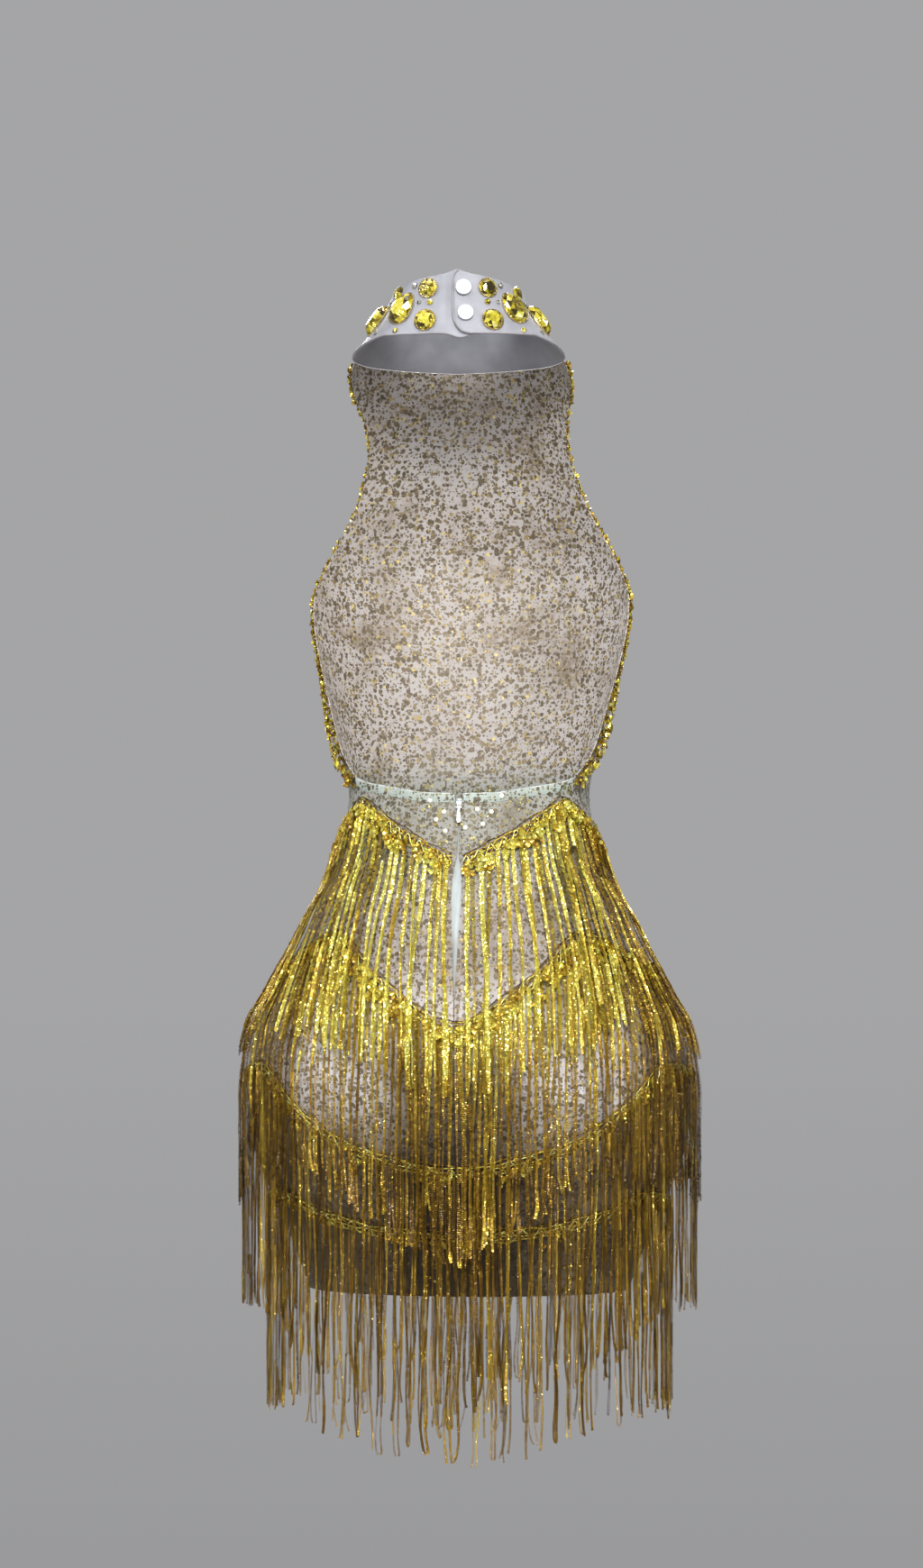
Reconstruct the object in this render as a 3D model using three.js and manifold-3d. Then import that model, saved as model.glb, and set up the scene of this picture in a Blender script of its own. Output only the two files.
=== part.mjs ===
// Sequin mini dress: a backless halter dress of sheer glitter mesh under four zigzag tiers of
// sequin fringe, with a high jewelled collar that snaps at centre back and a short back zip.
//
// Millimetres, +Z up. The wearer faces -Y, so the open back faces +Y and the wearer's left is +X.
// The origin is on the neck's axis at the middle of the collar's height. Angles run round the body
// in degrees: 0 at centre back, 90 at the wearer's left side, 180 at centre front, 270 at the right.
import * as THREE from 'three';
import { mergeVertices } from 'three/addons/utils/BufferGeometryUtils.js';
import Module from 'manifold-3d';

const wasm = await Module();
wasm.setup();

// ---------------------------------------------------------------- driving dimensions

const clothWall = 1.4; // mesh panels, measured level, so a little less across a slope
const collarWall = 1.8;
const seamGap = 0.3; // space between neighbouring pieces
const seamRadius = 130; // mean distance of the seams from the body's axis
const seamAngle = 0.08; // half of a seam's gap in degrees, where two halves of a tier meet
const columnStep = 9; // degrees between the columns of every wall round the body

const skirtHem = -877;
const skirtRows = 13;
const rowEase = 1.4; // packs the rows closer under the waist, where the skirt flares
const sideSeam = 63; // side seam of the skirt, and where the bodice meets the back waist

const headingHeight = 13; // gold trim that each fringe hangs from
const headingInner = 2.2;
const headingOuter = 4.6;

const fringeWall = 1.6; // reach of one layer of strands
const fringeInner = 2.8; // first layer's distance from the body line
const fringeLayer = 3.6; // each lower tier pushes the ones over it out by this much
const fringeRows = 7;
const liftStart = 66; // an upper fringe starts to lift this far above a lower heading's top
const liftLength = 30;

// The body of the dress: half width, and depth from the neck's axis to the front and to the back.
const bodyRings = [
  { z: -45, half: 94, front: 80, back: 70 },
  { z: -90, half: 110, front: 92, back: 78 },
  { z: -150, half: 135, front: 112, back: 90 },
  { z: -215, half: 148, front: 128, back: 95 },
  { z: -260, half: 148, front: 125, back: 95 },
  { z: -345, half: 127, front: 106, back: 85 },
  { z: -395, half: 115, front: 94, back: 82 },
  { z: -430, half: 107, front: 88, back: 80 },
  { z: -458, half: 109, front: 90, back: 86 },
  { z: -502, half: 121, front: 98, back: 99 },
  { z: -556, half: 144, front: 105, back: 116 },
  { z: -610, half: 173, front: 110, back: 126 },
  { z: -640, half: 186, front: 112, back: 128 },
  { z: -675, half: 194, front: 112, back: 127 },
  { z: -710, half: 197, front: 110, back: 123 },
  { z: -750, half: 193, front: 106, back: 115 },
  { z: -790, half: 178, front: 100, back: 106 },
  { z: -830, half: 160, front: 95, back: 98 },
  { z: -877, half: 142, front: 90, back: 90 },
];

// The wearer stands with the hips a little to the right of the neck, so the rings' middles lean.
const lean = { sideways: -9.6, from: -45, to: -345 };

// Where the bodice ends at each height: the edge that runs from the collar under the arm to the waist.
const bodiceEdge = [
  { z: -45, angle: 95 },
  { z: -90, angle: 128 },
  { z: -150, angle: 134 },
  { z: -215, angle: 120 },
  { z: -260, angle: 105 },
  { z: -345, angle: 88 },
  { z: -395, angle: 78 },
  { z: -420, angle: 63.2 },
];
const bodiceRows = 10;
const bodiceColumns = 20;
const edgeTrimWidth = 11;
const edgeTrimInner = 1.7;
const edgeTrimOuter = 4;

// Waist seam, from centre back round to the front.
const waistLine = [
  { angle: 0, z: -434 },
  { angle: 18, z: -433 },
  { angle: 36, z: -428 },
  { angle: 54, z: -424 },
  { angle: 63, z: -420 },
  { angle: 180, z: -420 },
];
const bindingHeight = 8.5;
const bindingStart = 1.8; // degrees from centre back, which leaves room for the zip's slider
const bindingInner = -0.5;
const bindingOuter = 2.2;

// Half width of the opening between the two skirt backs: closed, then open over the zip's tape.
const backOpening = [
  { z: -430, half: 0.7 },
  { z: -488, half: 0.7 },
  { z: -504, half: 3.6 },
  { z: -524, half: 4.8 },
  { z: -552, half: 3.2 },
  { z: -610, half: 0.4 },
  { z: -640, half: 0.2 },
];
const zipTape = { top: -440, bottom: -616, halfWidth: 7, inner: -2.1, outer: -0.9, rows: 6 };

// Four tiers. line is the heading's height round the body, in degrees from centre back on both sides.
// drop is the strands' length at centre back, and sideLess is how much shorter they hang at the side.
const tiers = [
  {
    line: [
      { angle: 0, z: -496 },
      { angle: 54, z: -441 },
      { angle: 72, z: -456 },
      { angle: 90, z: -483 },
      { angle: 126, z: -441 },
      { angle: 180, z: -492 },
    ],
    drop: 214,
    sideLess: 6,
    endAngle: 2, // the zip parts this tier at centre back
  },
  {
    line: [
      { angle: 0, z: -645 },
      { angle: 45, z: -556 },
      { angle: 90, z: -600 },
      { angle: 135, z: -556 },
      { angle: 180, z: -642 },
    ],
    drop: 208,
    sideLess: 0,
    endAngle: seamAngle,
  },
  {
    line: [
      { angle: 0, z: -769 },
      { angle: 18, z: -758 },
      { angle: 36, z: -736 },
      { angle: 45, z: -716 },
      { angle: 63, z: -675 },
      { angle: 90, z: -684 },
      { angle: 117, z: -675 },
      { angle: 144, z: -736 },
      { angle: 180, z: -766 },
    ],
    drop: 208,
    sideLess: 0,
    endAngle: seamAngle,
  },
  {
    line: [
      { angle: 0, z: -827 },
      { angle: 27, z: -819 },
      { angle: 45, z: -808 },
      { angle: 63, z: -789 },
      { angle: 90, z: -800 },
      { angle: 117, z: -789 },
      { angle: 144, z: -812 },
      { angle: 180, z: -826 },
    ],
    drop: 201,
    sideLess: 12,
    endAngle: seamAngle,
  },
];

// The collar: a flared band, cut in one, that laps right over left near centre back. Its own angles
// are measured from the lap, which the wearer's neck turns a little to the right.
const collar = {
  turn: -5,
  topHalf: 56,
  topFront: 54,
  topBack: 58,
  bottomHalf: 94,
  bottomFront: 80,
  bottomBack: 71,
  hollow: 0.1, // how far the flare bows in, as a share of its width
  underEnd: -12,
  overEnd: 364,
  liftFrom: 318,
  liftTo: 346,
  lift: 2.5,
  rows: 4,
};
const collarTop = [
  { angle: 0, z: 31 },
  { angle: 12, z: 27 },
  { angle: 36, z: 23 },
  { angle: 54, z: 19 },
  { angle: 90, z: 14 },
  { angle: 180, z: 5 },
];
const collarBottom = [
  { angle: 0, z: -28 },
  { angle: 45, z: -28 },
  { angle: 72, z: -38 },
  { angle: 90, z: -45 },
  { angle: 126, z: -49 },
  { angle: 180, z: -52 },
];
// The lapping end's corners: heights, and degrees across.
const lapCorner = { top: 8, bottom: 22, width: 9 };

const snap = { radius: 7, thickness: 2.4, angle: -4.5, heights: [14, -9], sides: 12, crown: 0.75 };

// Large stones on each side of the collar, by angle from the lap and height.
const collarStones = [
  { name: 'round_upper', angle: 24, z: 14, halfWidth: 9, halfLength: 9, point: 0, turn: 0, depth: 5.5 },
  { name: 'round_lower', angle: 20.5, z: -15, halfWidth: 10, halfLength: 10, point: 0, turn: 0, depth: 6 },
  { name: 'teardrop', angle: 42, z: -3.5, halfWidth: 14.5, halfLength: 16, point: 0.4, turn: -22, depth: 7 },
  { name: 'drop_long', angle: 69.5, z: -13, halfWidth: 9, halfLength: 16.5, point: 0.5, turn: -14, depth: 8 },
];
const stoneSides = 10;
const stoneSeat = 0.6; // the stone's back stands this far off the collar
const stoneTable = 0.55; // width of the flat top as a share of the stone's
const stoneGirdle = 0.35; // height of the widest line as a share of the stone's depth

const slider = {
  z: -443, // height of the slider's middle
  stand: 0.6,
  width: 5.4,
  thickness: 1.3,
  top: 4.5,
  shoulder: 1.8, // height where the plate is widest
  bottom: -1.6,
  footHalf: 1.89,
  headHalf: 2.16,
  earInner: 1.9,
  earOuter: 2.7,
  earRadius: 1.4,
  pinRadius: 0.5,
  pinHalf: 2.3,
  pinHeight: 1.9,
  pinDrop: -3.6,
};
const pull = {
  eyeRadius: 1.6,
  eyeHole: 0.9,
  eyeHalf: 1.5,
  neckHalf: 1.05,
  neckTop: -0.5,
  neckBottom: -4.2,
  swell: -7.7, // height that sets how the neck widens into the drop
  roundMiddle: -11.9,
  halfWidth: 1.9,
  thickness: 1.1,
};

// ---------------------------------------------------------------- materials

const makeMaterial = (name, color, roughness, metalness) =>
  new THREE.MeshStandardMaterial({ name, color, roughness, metalness });

const materials = {
  collarCloth: makeMaterial('collar_cloth', 0xc3c2cc, 0.6, 0),
  glitterMesh: makeMaterial('glitter_mesh', 0xa79d96, 0.7, 0.1),
  binding: makeMaterial('binding', 0xbec8c3, 0.6, 0),
  goldTrim: makeMaterial('gold_trim', 0xb8932a, 0.35, 0.8),
  goldFringe: makeMaterial('gold_fringe', 0xd8c23a, 0.3, 0.8),
  goldStone: makeMaterial('gold_stone', 0xb09a1c, 0.1, 0.4),
  tape: makeMaterial('tape', 0xa5b2aa, 0.6, 0),
  whiteSnap: makeMaterial('white_snap', 0xf0f6f8, 0.25, 0),
  zipMetal: makeMaterial('zip_metal', 0xc9d3cf, 0.3, 0.7),
};

// ---------------------------------------------------------------- tables and rings

// The two rows of a table that a value lies between, as the index of the first.
function rowBefore(rows, key, at) {
  const rising = rows[rows.length - 1][key] > rows[0][key];
  let index = 0;
  while (index < rows.length - 2 && (rising ? at > rows[index + 1][key] : at < rows[index + 1][key])) {
    index += 1;
  }
  return index;
}

// One column of a table along straight lines between its rows, and level past its ends.
function straightAt(rows, key, column, at) {
  const index = rowBefore(rows, key, at);
  const from = rows[index];
  const to = rows[index + 1];
  const share = THREE.MathUtils.clamp((at - from[key]) / (to[key] - from[key]), 0, 1);
  return THREE.MathUtils.lerp(from[column], to[column], share);
}

// One column of a table along a smooth curve through its rows.
function smoothAt(rows, key, column, at) {
  const index = rowBefore(rows, key, at);
  const slopeAt = (row) => {
    const before = rows[Math.max(row - 1, 0)];
    const after = rows[Math.min(row + 1, rows.length - 1)];
    return (after[column] - before[column]) / (after[key] - before[key]);
  };
  const from = rows[index];
  const to = rows[index + 1];
  const span = to[key] - from[key];
  const share = THREE.MathUtils.clamp((at - from[key]) / span, 0, 1);
  const squared = share * share;
  const cubed = squared * share;
  return (
    (2 * cubed - 3 * squared + 1) * from[column] +
    (cubed - 2 * squared + share) * span * slopeAt(index) +
    (3 * squared - 2 * cubed) * to[column] +
    (cubed - squared) * span * slopeAt(index + 1)
  );
}

// An angle in degrees folded to its distance from centre back, so that the right side mirrors the left.
function fromBack(angle) {
  const turned = THREE.MathUtils.euclideanModulo(angle, 360);
  return turned > 180 ? 360 - turned : turned;
}

function bodyRing(z) {
  return {
    z,
    half: smoothAt(bodyRings, 'z', 'half', z),
    front: smoothAt(bodyRings, 'z', 'front', z),
    back: smoothAt(bodyRings, 'z', 'back', z),
  };
}

// The widest ring between two heights: what hangs from the upper one clears everything above the lower.
function hangingRing(fromZ, z) {
  const steps = 8;
  const ring = bodyRing(fromZ);
  for (let step = 1; step <= steps; step += 1) {
    const passed = bodyRing(THREE.MathUtils.lerp(fromZ, z, step / steps));
    ring.half = Math.max(ring.half, passed.half);
    ring.front = Math.max(ring.front, passed.front);
    ring.back = Math.max(ring.back, passed.back);
  }
  ring.z = z;
  return ring;
}

const middleAt = (z) => lean.sideways * THREE.MathUtils.smoothstep(-z, -lean.from, -lean.to);

function ringPoint(ring, angle, offset) {
  const turn = THREE.MathUtils.degToRad(angle);
  const depth = Math.cos(turn) > 0 ? ring.back : ring.front;
  return new THREE.Vector3(
    middleAt(ring.z) + (ring.half + offset) * Math.sin(turn),
    (depth + offset) * Math.cos(turn),
    ring.z,
  );
}

// The wall's columns from one angle to another: both ends, and every whole step between them.
function columnAngles(from, to) {
  const angles = [from];
  for (let angle = Math.ceil((from + 1) / columnStep) * columnStep; angle < to - 1; angle += columnStep) {
    angles.push(angle);
  }
  angles.push(to);
  return angles;
}

// ---------------------------------------------------------------- solids

// A closed wall over a grid. place(column, row) gives the inner and outer point there; columns run
// round the body in the sense of the angles, and rows run down.
function makeWall(columnCount, rowCount, place) {
  const positions = [];
  const faces = [];
  for (let column = 0; column < columnCount; column += 1) {
    for (let row = 0; row < rowCount; row += 1) {
      const { inner, outer } = place(column, row);
      positions.push(inner.x, inner.y, inner.z, outer.x, outer.y, outer.z);
    }
  }
  const innerAt = (column, row) => 2 * (column * rowCount + row);
  const outerAt = (column, row) => innerAt(column, row) + 1;
  const addQuad = (a, b, c, d) => faces.push(a, b, c, a, c, d);

  for (let column = 0; column < columnCount - 1; column += 1) {
    for (let row = 0; row < rowCount - 1; row += 1) {
      addQuad(
        outerAt(column, row),
        outerAt(column + 1, row),
        outerAt(column + 1, row + 1),
        outerAt(column, row + 1),
      );
      addQuad(
        innerAt(column, row),
        innerAt(column, row + 1),
        innerAt(column + 1, row + 1),
        innerAt(column + 1, row),
      );
    }
    const last = rowCount - 1;
    addQuad(innerAt(column, 0), innerAt(column + 1, 0), outerAt(column + 1, 0), outerAt(column, 0));
    addQuad(
      innerAt(column, last),
      outerAt(column, last),
      outerAt(column + 1, last),
      innerAt(column + 1, last),
    );
  }
  for (let row = 0; row < rowCount - 1; row += 1) {
    const last = columnCount - 1;
    addQuad(innerAt(0, row), outerAt(0, row), outerAt(0, row + 1), innerAt(0, row + 1));
    addQuad(innerAt(last, row), innerAt(last, row + 1), outerAt(last, row + 1), outerAt(last, row));
  }
  const geometry = new THREE.BufferGeometry();
  geometry.setAttribute('position', new THREE.Float32BufferAttribute(positions, 3));
  geometry.setIndex(faces);
  return geometry;
}

// A wall on the body between a top and a bottom line, given as functions of the angle.
function makeBodyWall({ angles, rows, topAt, bottomAt, inner, outer, endAngleAt }) {
  return makeWall(angles.length, rows + 1, (column, row) => {
    const share = (row / rows) ** rowEase;
    const z = THREE.MathUtils.lerp(topAt(angles[column]), bottomAt(angles[column]), share);
    const angle = endAngleAt ? endAngleAt(angles[column], z) : angles[column];
    const ring = bodyRing(z);
    return { inner: ringPoint(ring, angle, inner), outer: ringPoint(ring, angle, outer) };
  });
}

const group = new THREE.Group();

function addPiece(name, geometry, material) {
  const mesh = new THREE.Mesh(geometry, material);
  mesh.name = name;
  group.add(mesh);
  return mesh;
}

// Columns of the wearer's right side: the left side's, turned round the other way.
const mirrored = (angles) => angles.map((angle) => 360 - angle).reverse();

function toSolid(geometry) {
  const bare = geometry.clone();
  bare.deleteAttribute('normal');
  bare.deleteAttribute('uv');
  const merged = mergeVertices(bare, 1e-4);
  return new wasm.Manifold(
    new wasm.Mesh({
      numProp: 3,
      vertProperties: new Float32Array(merged.attributes.position.array),
      triVerts: new Uint32Array(merged.index.array),
    }),
  );
}

function toGeometry(solid) {
  const mesh = solid.getMesh();
  const geometry = new THREE.BufferGeometry();
  geometry.setAttribute('position', new THREE.BufferAttribute(mesh.vertProperties, 3));
  geometry.setIndex(new THREE.BufferAttribute(mesh.triVerts, 1));
  return geometry;
}

// ---------------------------------------------------------------- skirt and bodice

const waistAt = (angle) => straightAt(waistLine, 'angle', 'z', fromBack(angle));

function addSkirt() {
  const seam = THREE.MathUtils.radToDeg(seamGap / 2 / seamRadius);
  const backTop = (angle) => waistAt(angle) - bindingHeight;
  const hem = () => skirtHem;

  // The first column of a skirt back follows the opening at centre back.
  const openingAngle = (angle, z) => {
    const away = fromBack(angle);
    if (away > seam * 2) return angle;
    const half = straightAt(backOpening, 'z', 'half', z);
    const turn = THREE.MathUtils.radToDeg(Math.asin(half / bodyRing(z).half));
    return angle > 180 ? 360 - turn : turn;
  };
  const leftAngles = columnAngles(0, sideSeam - seam);
  const sides = [
    ['left', leftAngles],
    ['right', mirrored(leftAngles)],
  ];
  for (const [side, angles] of sides) {
    const back = {
      angles,
      rows: skirtRows,
      topAt: backTop,
      bottomAt: hem,
      inner: 0,
      outer: clothWall,
      endAngleAt: openingAngle,
    };
    addPiece(`skirt_back_${side}`, makeBodyWall(back), materials.glitterMesh);

    const bindingAngles = angles.map((angle) =>
      fromBack(angle) === 0 ? Math.abs(angle - bindingStart) : angle,
    );
    const binding = {
      angles: bindingAngles,
      rows: 1,
      topAt: waistAt,
      bottomAt: (angle) => backTop(angle) + seamGap,
      inner: bindingInner,
      outer: bindingOuter,
    };
    addPiece(`waist_binding_${side}`, makeBodyWall(binding), materials.binding);
  }
  const front = {
    angles: columnAngles(sideSeam + seam, 360 - sideSeam - seam),
    rows: skirtRows,
    topAt: (angle) => waistAt(angle) - seamGap / 2,
    bottomAt: hem,
    inner: 0,
    outer: clothWall,
  };
  addPiece('skirt_front', makeBodyWall(front), materials.glitterMesh);
}

function addBodice() {
  const topAt = (angle) =>
    straightAt(collarBottom, 'angle', 'z', fromBack(angle - collar.turn)) - seamGap;
  const heightAt = (angle, share) =>
    THREE.MathUtils.lerp(topAt(angle), waistAt(angle) + seamGap / 2, share);

  // The outermost columns lie along the edge and along the inner side of its jewelled strip.
  const spotAt = (column, share, offset) => {
    const z = heightAt(sideSeam, share);
    const edge = smoothAt(bodiceEdge, 'z', 'angle', z);
    const strip = edge + THREE.MathUtils.radToDeg(edgeTrimWidth / bodyRing(z).half);
    const middle = bodiceColumns / 2;
    const fromMiddle = Math.abs(column - middle);
    const away = fromMiddle === middle ? edge : 180 - ((180 - strip) * fromMiddle) / (middle - 1);
    const angle = column <= middle ? away : 360 - away;
    return ringPoint(bodyRing(heightAt(angle, share)), angle, offset);
  };
  const wallFrom = (firstColumn, columnCount, inner, outer) =>
    makeWall(columnCount, bodiceRows + 1, (column, row) => {
      const share = row / bodiceRows;
      return {
        inner: spotAt(firstColumn + column, share, inner),
        outer: spotAt(firstColumn + column, share, outer),
      };
    });
  addPiece('bodice_front', wallFrom(0, bodiceColumns + 1, 0, clothWall), materials.glitterMesh);
  addPiece('edge_trim_left', wallFrom(0, 2, edgeTrimInner, edgeTrimOuter), materials.goldStone);
  addPiece(
    'edge_trim_right',
    wallFrom(bodiceColumns - 1, 2, edgeTrimInner, edgeTrimOuter),
    materials.goldStone,
  );
}

// ---------------------------------------------------------------- fringe tiers

const headingAt = (tier, angle) => straightAt(tier.line, 'angle', 'z', fromBack(angle));

// How many lower tiers a fringe lies over at a point, rising gently above each of their headings.
function layersUnder(tierIndex, angle, z) {
  let layers = 0;
  for (const lower of tiers.slice(tierIndex + 1)) {
    const liftTop = headingAt(lower, angle) + headingHeight / 2 + liftStart;
    layers += THREE.MathUtils.smoothstep(liftTop - z, 0, liftLength);
  }
  return layers;
}

function addTier(tierIndex) {
  const tier = tiers[tierIndex];
  const leftAngles = columnAngles(tier.endAngle, 180 - seamAngle);
  const sides = [
    ['left', leftAngles],
    ['right', mirrored(leftAngles)],
  ];
  for (const [side, angles] of sides) {
    const heading = {
      angles,
      rows: 1,
      topAt: (angle) => headingAt(tier, angle) + headingHeight / 2,
      bottomAt: (angle) => headingAt(tier, angle) - headingHeight / 2,
      inner: headingInner,
      outer: headingOuter,
    };
    addPiece(`heading_${tierIndex + 1}_${side}`, makeBodyWall(heading), materials.goldTrim);

    const fringe = makeWall(angles.length, fringeRows + 1, (column, row) => {
      const angle = angles[column];
      const top = headingAt(tier, angle) - headingHeight / 2 - seamGap;
      const sideShare = Math.abs(Math.sin(THREE.MathUtils.degToRad(angle)));
      const length = tier.drop - headingHeight / 2 - tier.sideLess * sideShare;
      const z = top - (length * row) / fringeRows;
      const ring = hangingRing(top, z);
      const stand = fringeInner + fringeLayer * layersUnder(tierIndex, angle, z);
      return { inner: ringPoint(ring, angle, stand), outer: ringPoint(ring, angle, stand + fringeWall) };
    });
    addPiece(`fringe_${tierIndex + 1}_${side}`, fringe, materials.goldFringe);
  }
}

// ---------------------------------------------------------------- collar, snaps and stones

// A point on the collar: angle round the neck, and share of the way from its top edge to its bottom.
function collarPoint(angle, share, offset) {
  const topZ = straightAt(collarTop, 'angle', 'z', fromBack(angle));
  const bottomZ = straightAt(collarBottom, 'angle', 'z', fromBack(angle));
  const flare = share - collar.hollow * Math.sin(Math.PI * share);
  const ring = {
    z: THREE.MathUtils.lerp(topZ, bottomZ, share),
    half: THREE.MathUtils.lerp(collar.topHalf, collar.bottomHalf, flare),
    front: THREE.MathUtils.lerp(collar.topFront, collar.bottomFront, flare),
    back: THREE.MathUtils.lerp(collar.topBack, collar.bottomBack, flare),
  };
  const lift = collar.lift * THREE.MathUtils.smoothstep(angle, collar.liftFrom, collar.liftTo);
  return ringPoint(ring, angle + collar.turn, offset + lift);
}

// The same, by height instead of share.
function collarPointAt(angle, z, offset) {
  const topZ = straightAt(collarTop, 'angle', 'z', fromBack(angle));
  const bottomZ = straightAt(collarBottom, 'angle', 'z', fromBack(angle));
  return collarPoint(angle, (topZ - z) / (topZ - bottomZ), offset);
}

function addCollar() {
  const angles = columnAngles(collar.underEnd, collar.overEnd);
  angles[angles.length - 2] = collar.overEnd - lapCorner.width;
  const lastColumn = angles.length - 1;
  const bandHeight = collarTop[0].z - collarBottom[0].z;
  const band = makeWall(angles.length, collar.rows + 1, (column, row) => {
    const atEnd = column === lastColumn ? 1 / bandHeight : 0;
    const bottomShare = 1 - lapCorner.bottom * atEnd;
    const share = THREE.MathUtils.lerp(lapCorner.top * atEnd, bottomShare, row / collar.rows);
    return {
      inner: collarPoint(angles[column], share, 0),
      outer: collarPoint(angles[column], share, collarWall),
    };
  });
  addPiece('collar', band, materials.collarCloth);
}

// A flat-backed piece on the collar, from an outline in millimetres round its middle: right and up.
function makeOnCollar(angle, z, outline, inner, outer, topScale) {
  const radius = collarPointAt(angle, z, 0).setZ(0).length();
  const spot = (right, up, offset) => {
    const turned = angle - THREE.MathUtils.radToDeg(right / radius);
    return collarPointAt(turned, z + up, offset);
  };
  const positions = [];
  const faces = [];
  const addPoint = (point) => {
    positions.push(point.x, point.y, point.z);
    return positions.length / 3 - 1;
  };
  const backMiddle = addPoint(spot(0, 0, inner));
  const topMiddle = addPoint(spot(0, 0, outer));
  const girdle = inner + (outer - inner) * stoneGirdle;
  const count = outline.length;
  for (const { x, y } of outline) addPoint(spot(x, y, inner));
  for (const { x, y } of outline) addPoint(spot(x, y, girdle));
  for (const { x, y } of outline) addPoint(spot(x * topScale, y * topScale, outer));
  const backAt = (index) => 2 + (index % count);
  const girdleAt = (index) => 2 + count + (index % count);
  const topAt = (index) => 2 + 2 * count + (index % count);
  for (let index = 0; index < count; index += 1) {
    faces.push(backMiddle, backAt(index + 1), backAt(index));
    faces.push(backAt(index), backAt(index + 1), girdleAt(index + 1));
    faces.push(backAt(index), girdleAt(index + 1), girdleAt(index));
    faces.push(girdleAt(index), girdleAt(index + 1), topAt(index + 1));
    faces.push(girdleAt(index), topAt(index + 1), topAt(index));
    faces.push(topMiddle, topAt(index), topAt(index + 1));
  }
  const geometry = new THREE.BufferGeometry();
  geometry.setAttribute('position', new THREE.Float32BufferAttribute(positions, 3));
  geometry.setIndex(faces);
  return geometry;
}

// Outline of a stone, anticlockwise: an ellipse, drawn in towards its upper end where it has a point.
function stoneOutline({ halfWidth, halfLength, point, turn }, sides) {
  const outline = [];
  const turned = THREE.MathUtils.degToRad(turn);
  for (let index = 0; index < sides; index += 1) {
    const around = (2 * Math.PI * index) / sides + Math.PI / 2;
    const up = Math.sin(around);
    const narrowed = 1 - (point * (1 + up)) / 2;
    const spot = new THREE.Vector2(halfWidth * Math.cos(around) * narrowed, halfLength * up);
    outline.push(spot.rotateAround(new THREE.Vector2(), turned));
  }
  return outline;
}

function addStones() {
  for (const side of ['left', 'right']) {
    const sense = side === 'left' ? 1 : -1;
    for (const stone of collarStones) {
      const angle = side === 'left' ? stone.angle : 360 - stone.angle;
      const outline = stoneOutline({ ...stone, turn: stone.turn * sense }, stoneSides);
      const geometry = makeOnCollar(
        angle,
        stone.z,
        outline,
        collarWall + stoneSeat,
        collarWall + stoneSeat + stone.depth,
        stoneTable,
      );
      addPiece(`stone_${stone.name}_${side}`, geometry, materials.goldStone);
    }
  }
}

function addSnaps() {
  const disc = { halfWidth: snap.radius, halfLength: snap.radius, point: 0, turn: 0 };
  const outline = stoneOutline(disc, snap.sides);
  const back = collarWall + stoneSeat;
  for (const [index, name] of ['snap_upper', 'snap_lower'].entries()) {
    const z = snap.heights[index];
    const geometry = makeOnCollar(
      360 + snap.angle,
      z,
      outline,
      back,
      back + snap.thickness,
      snap.crown,
    );
    addPiece(name, geometry, materials.whiteSnap);
  }
}

// ---------------------------------------------------------------- zip

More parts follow.
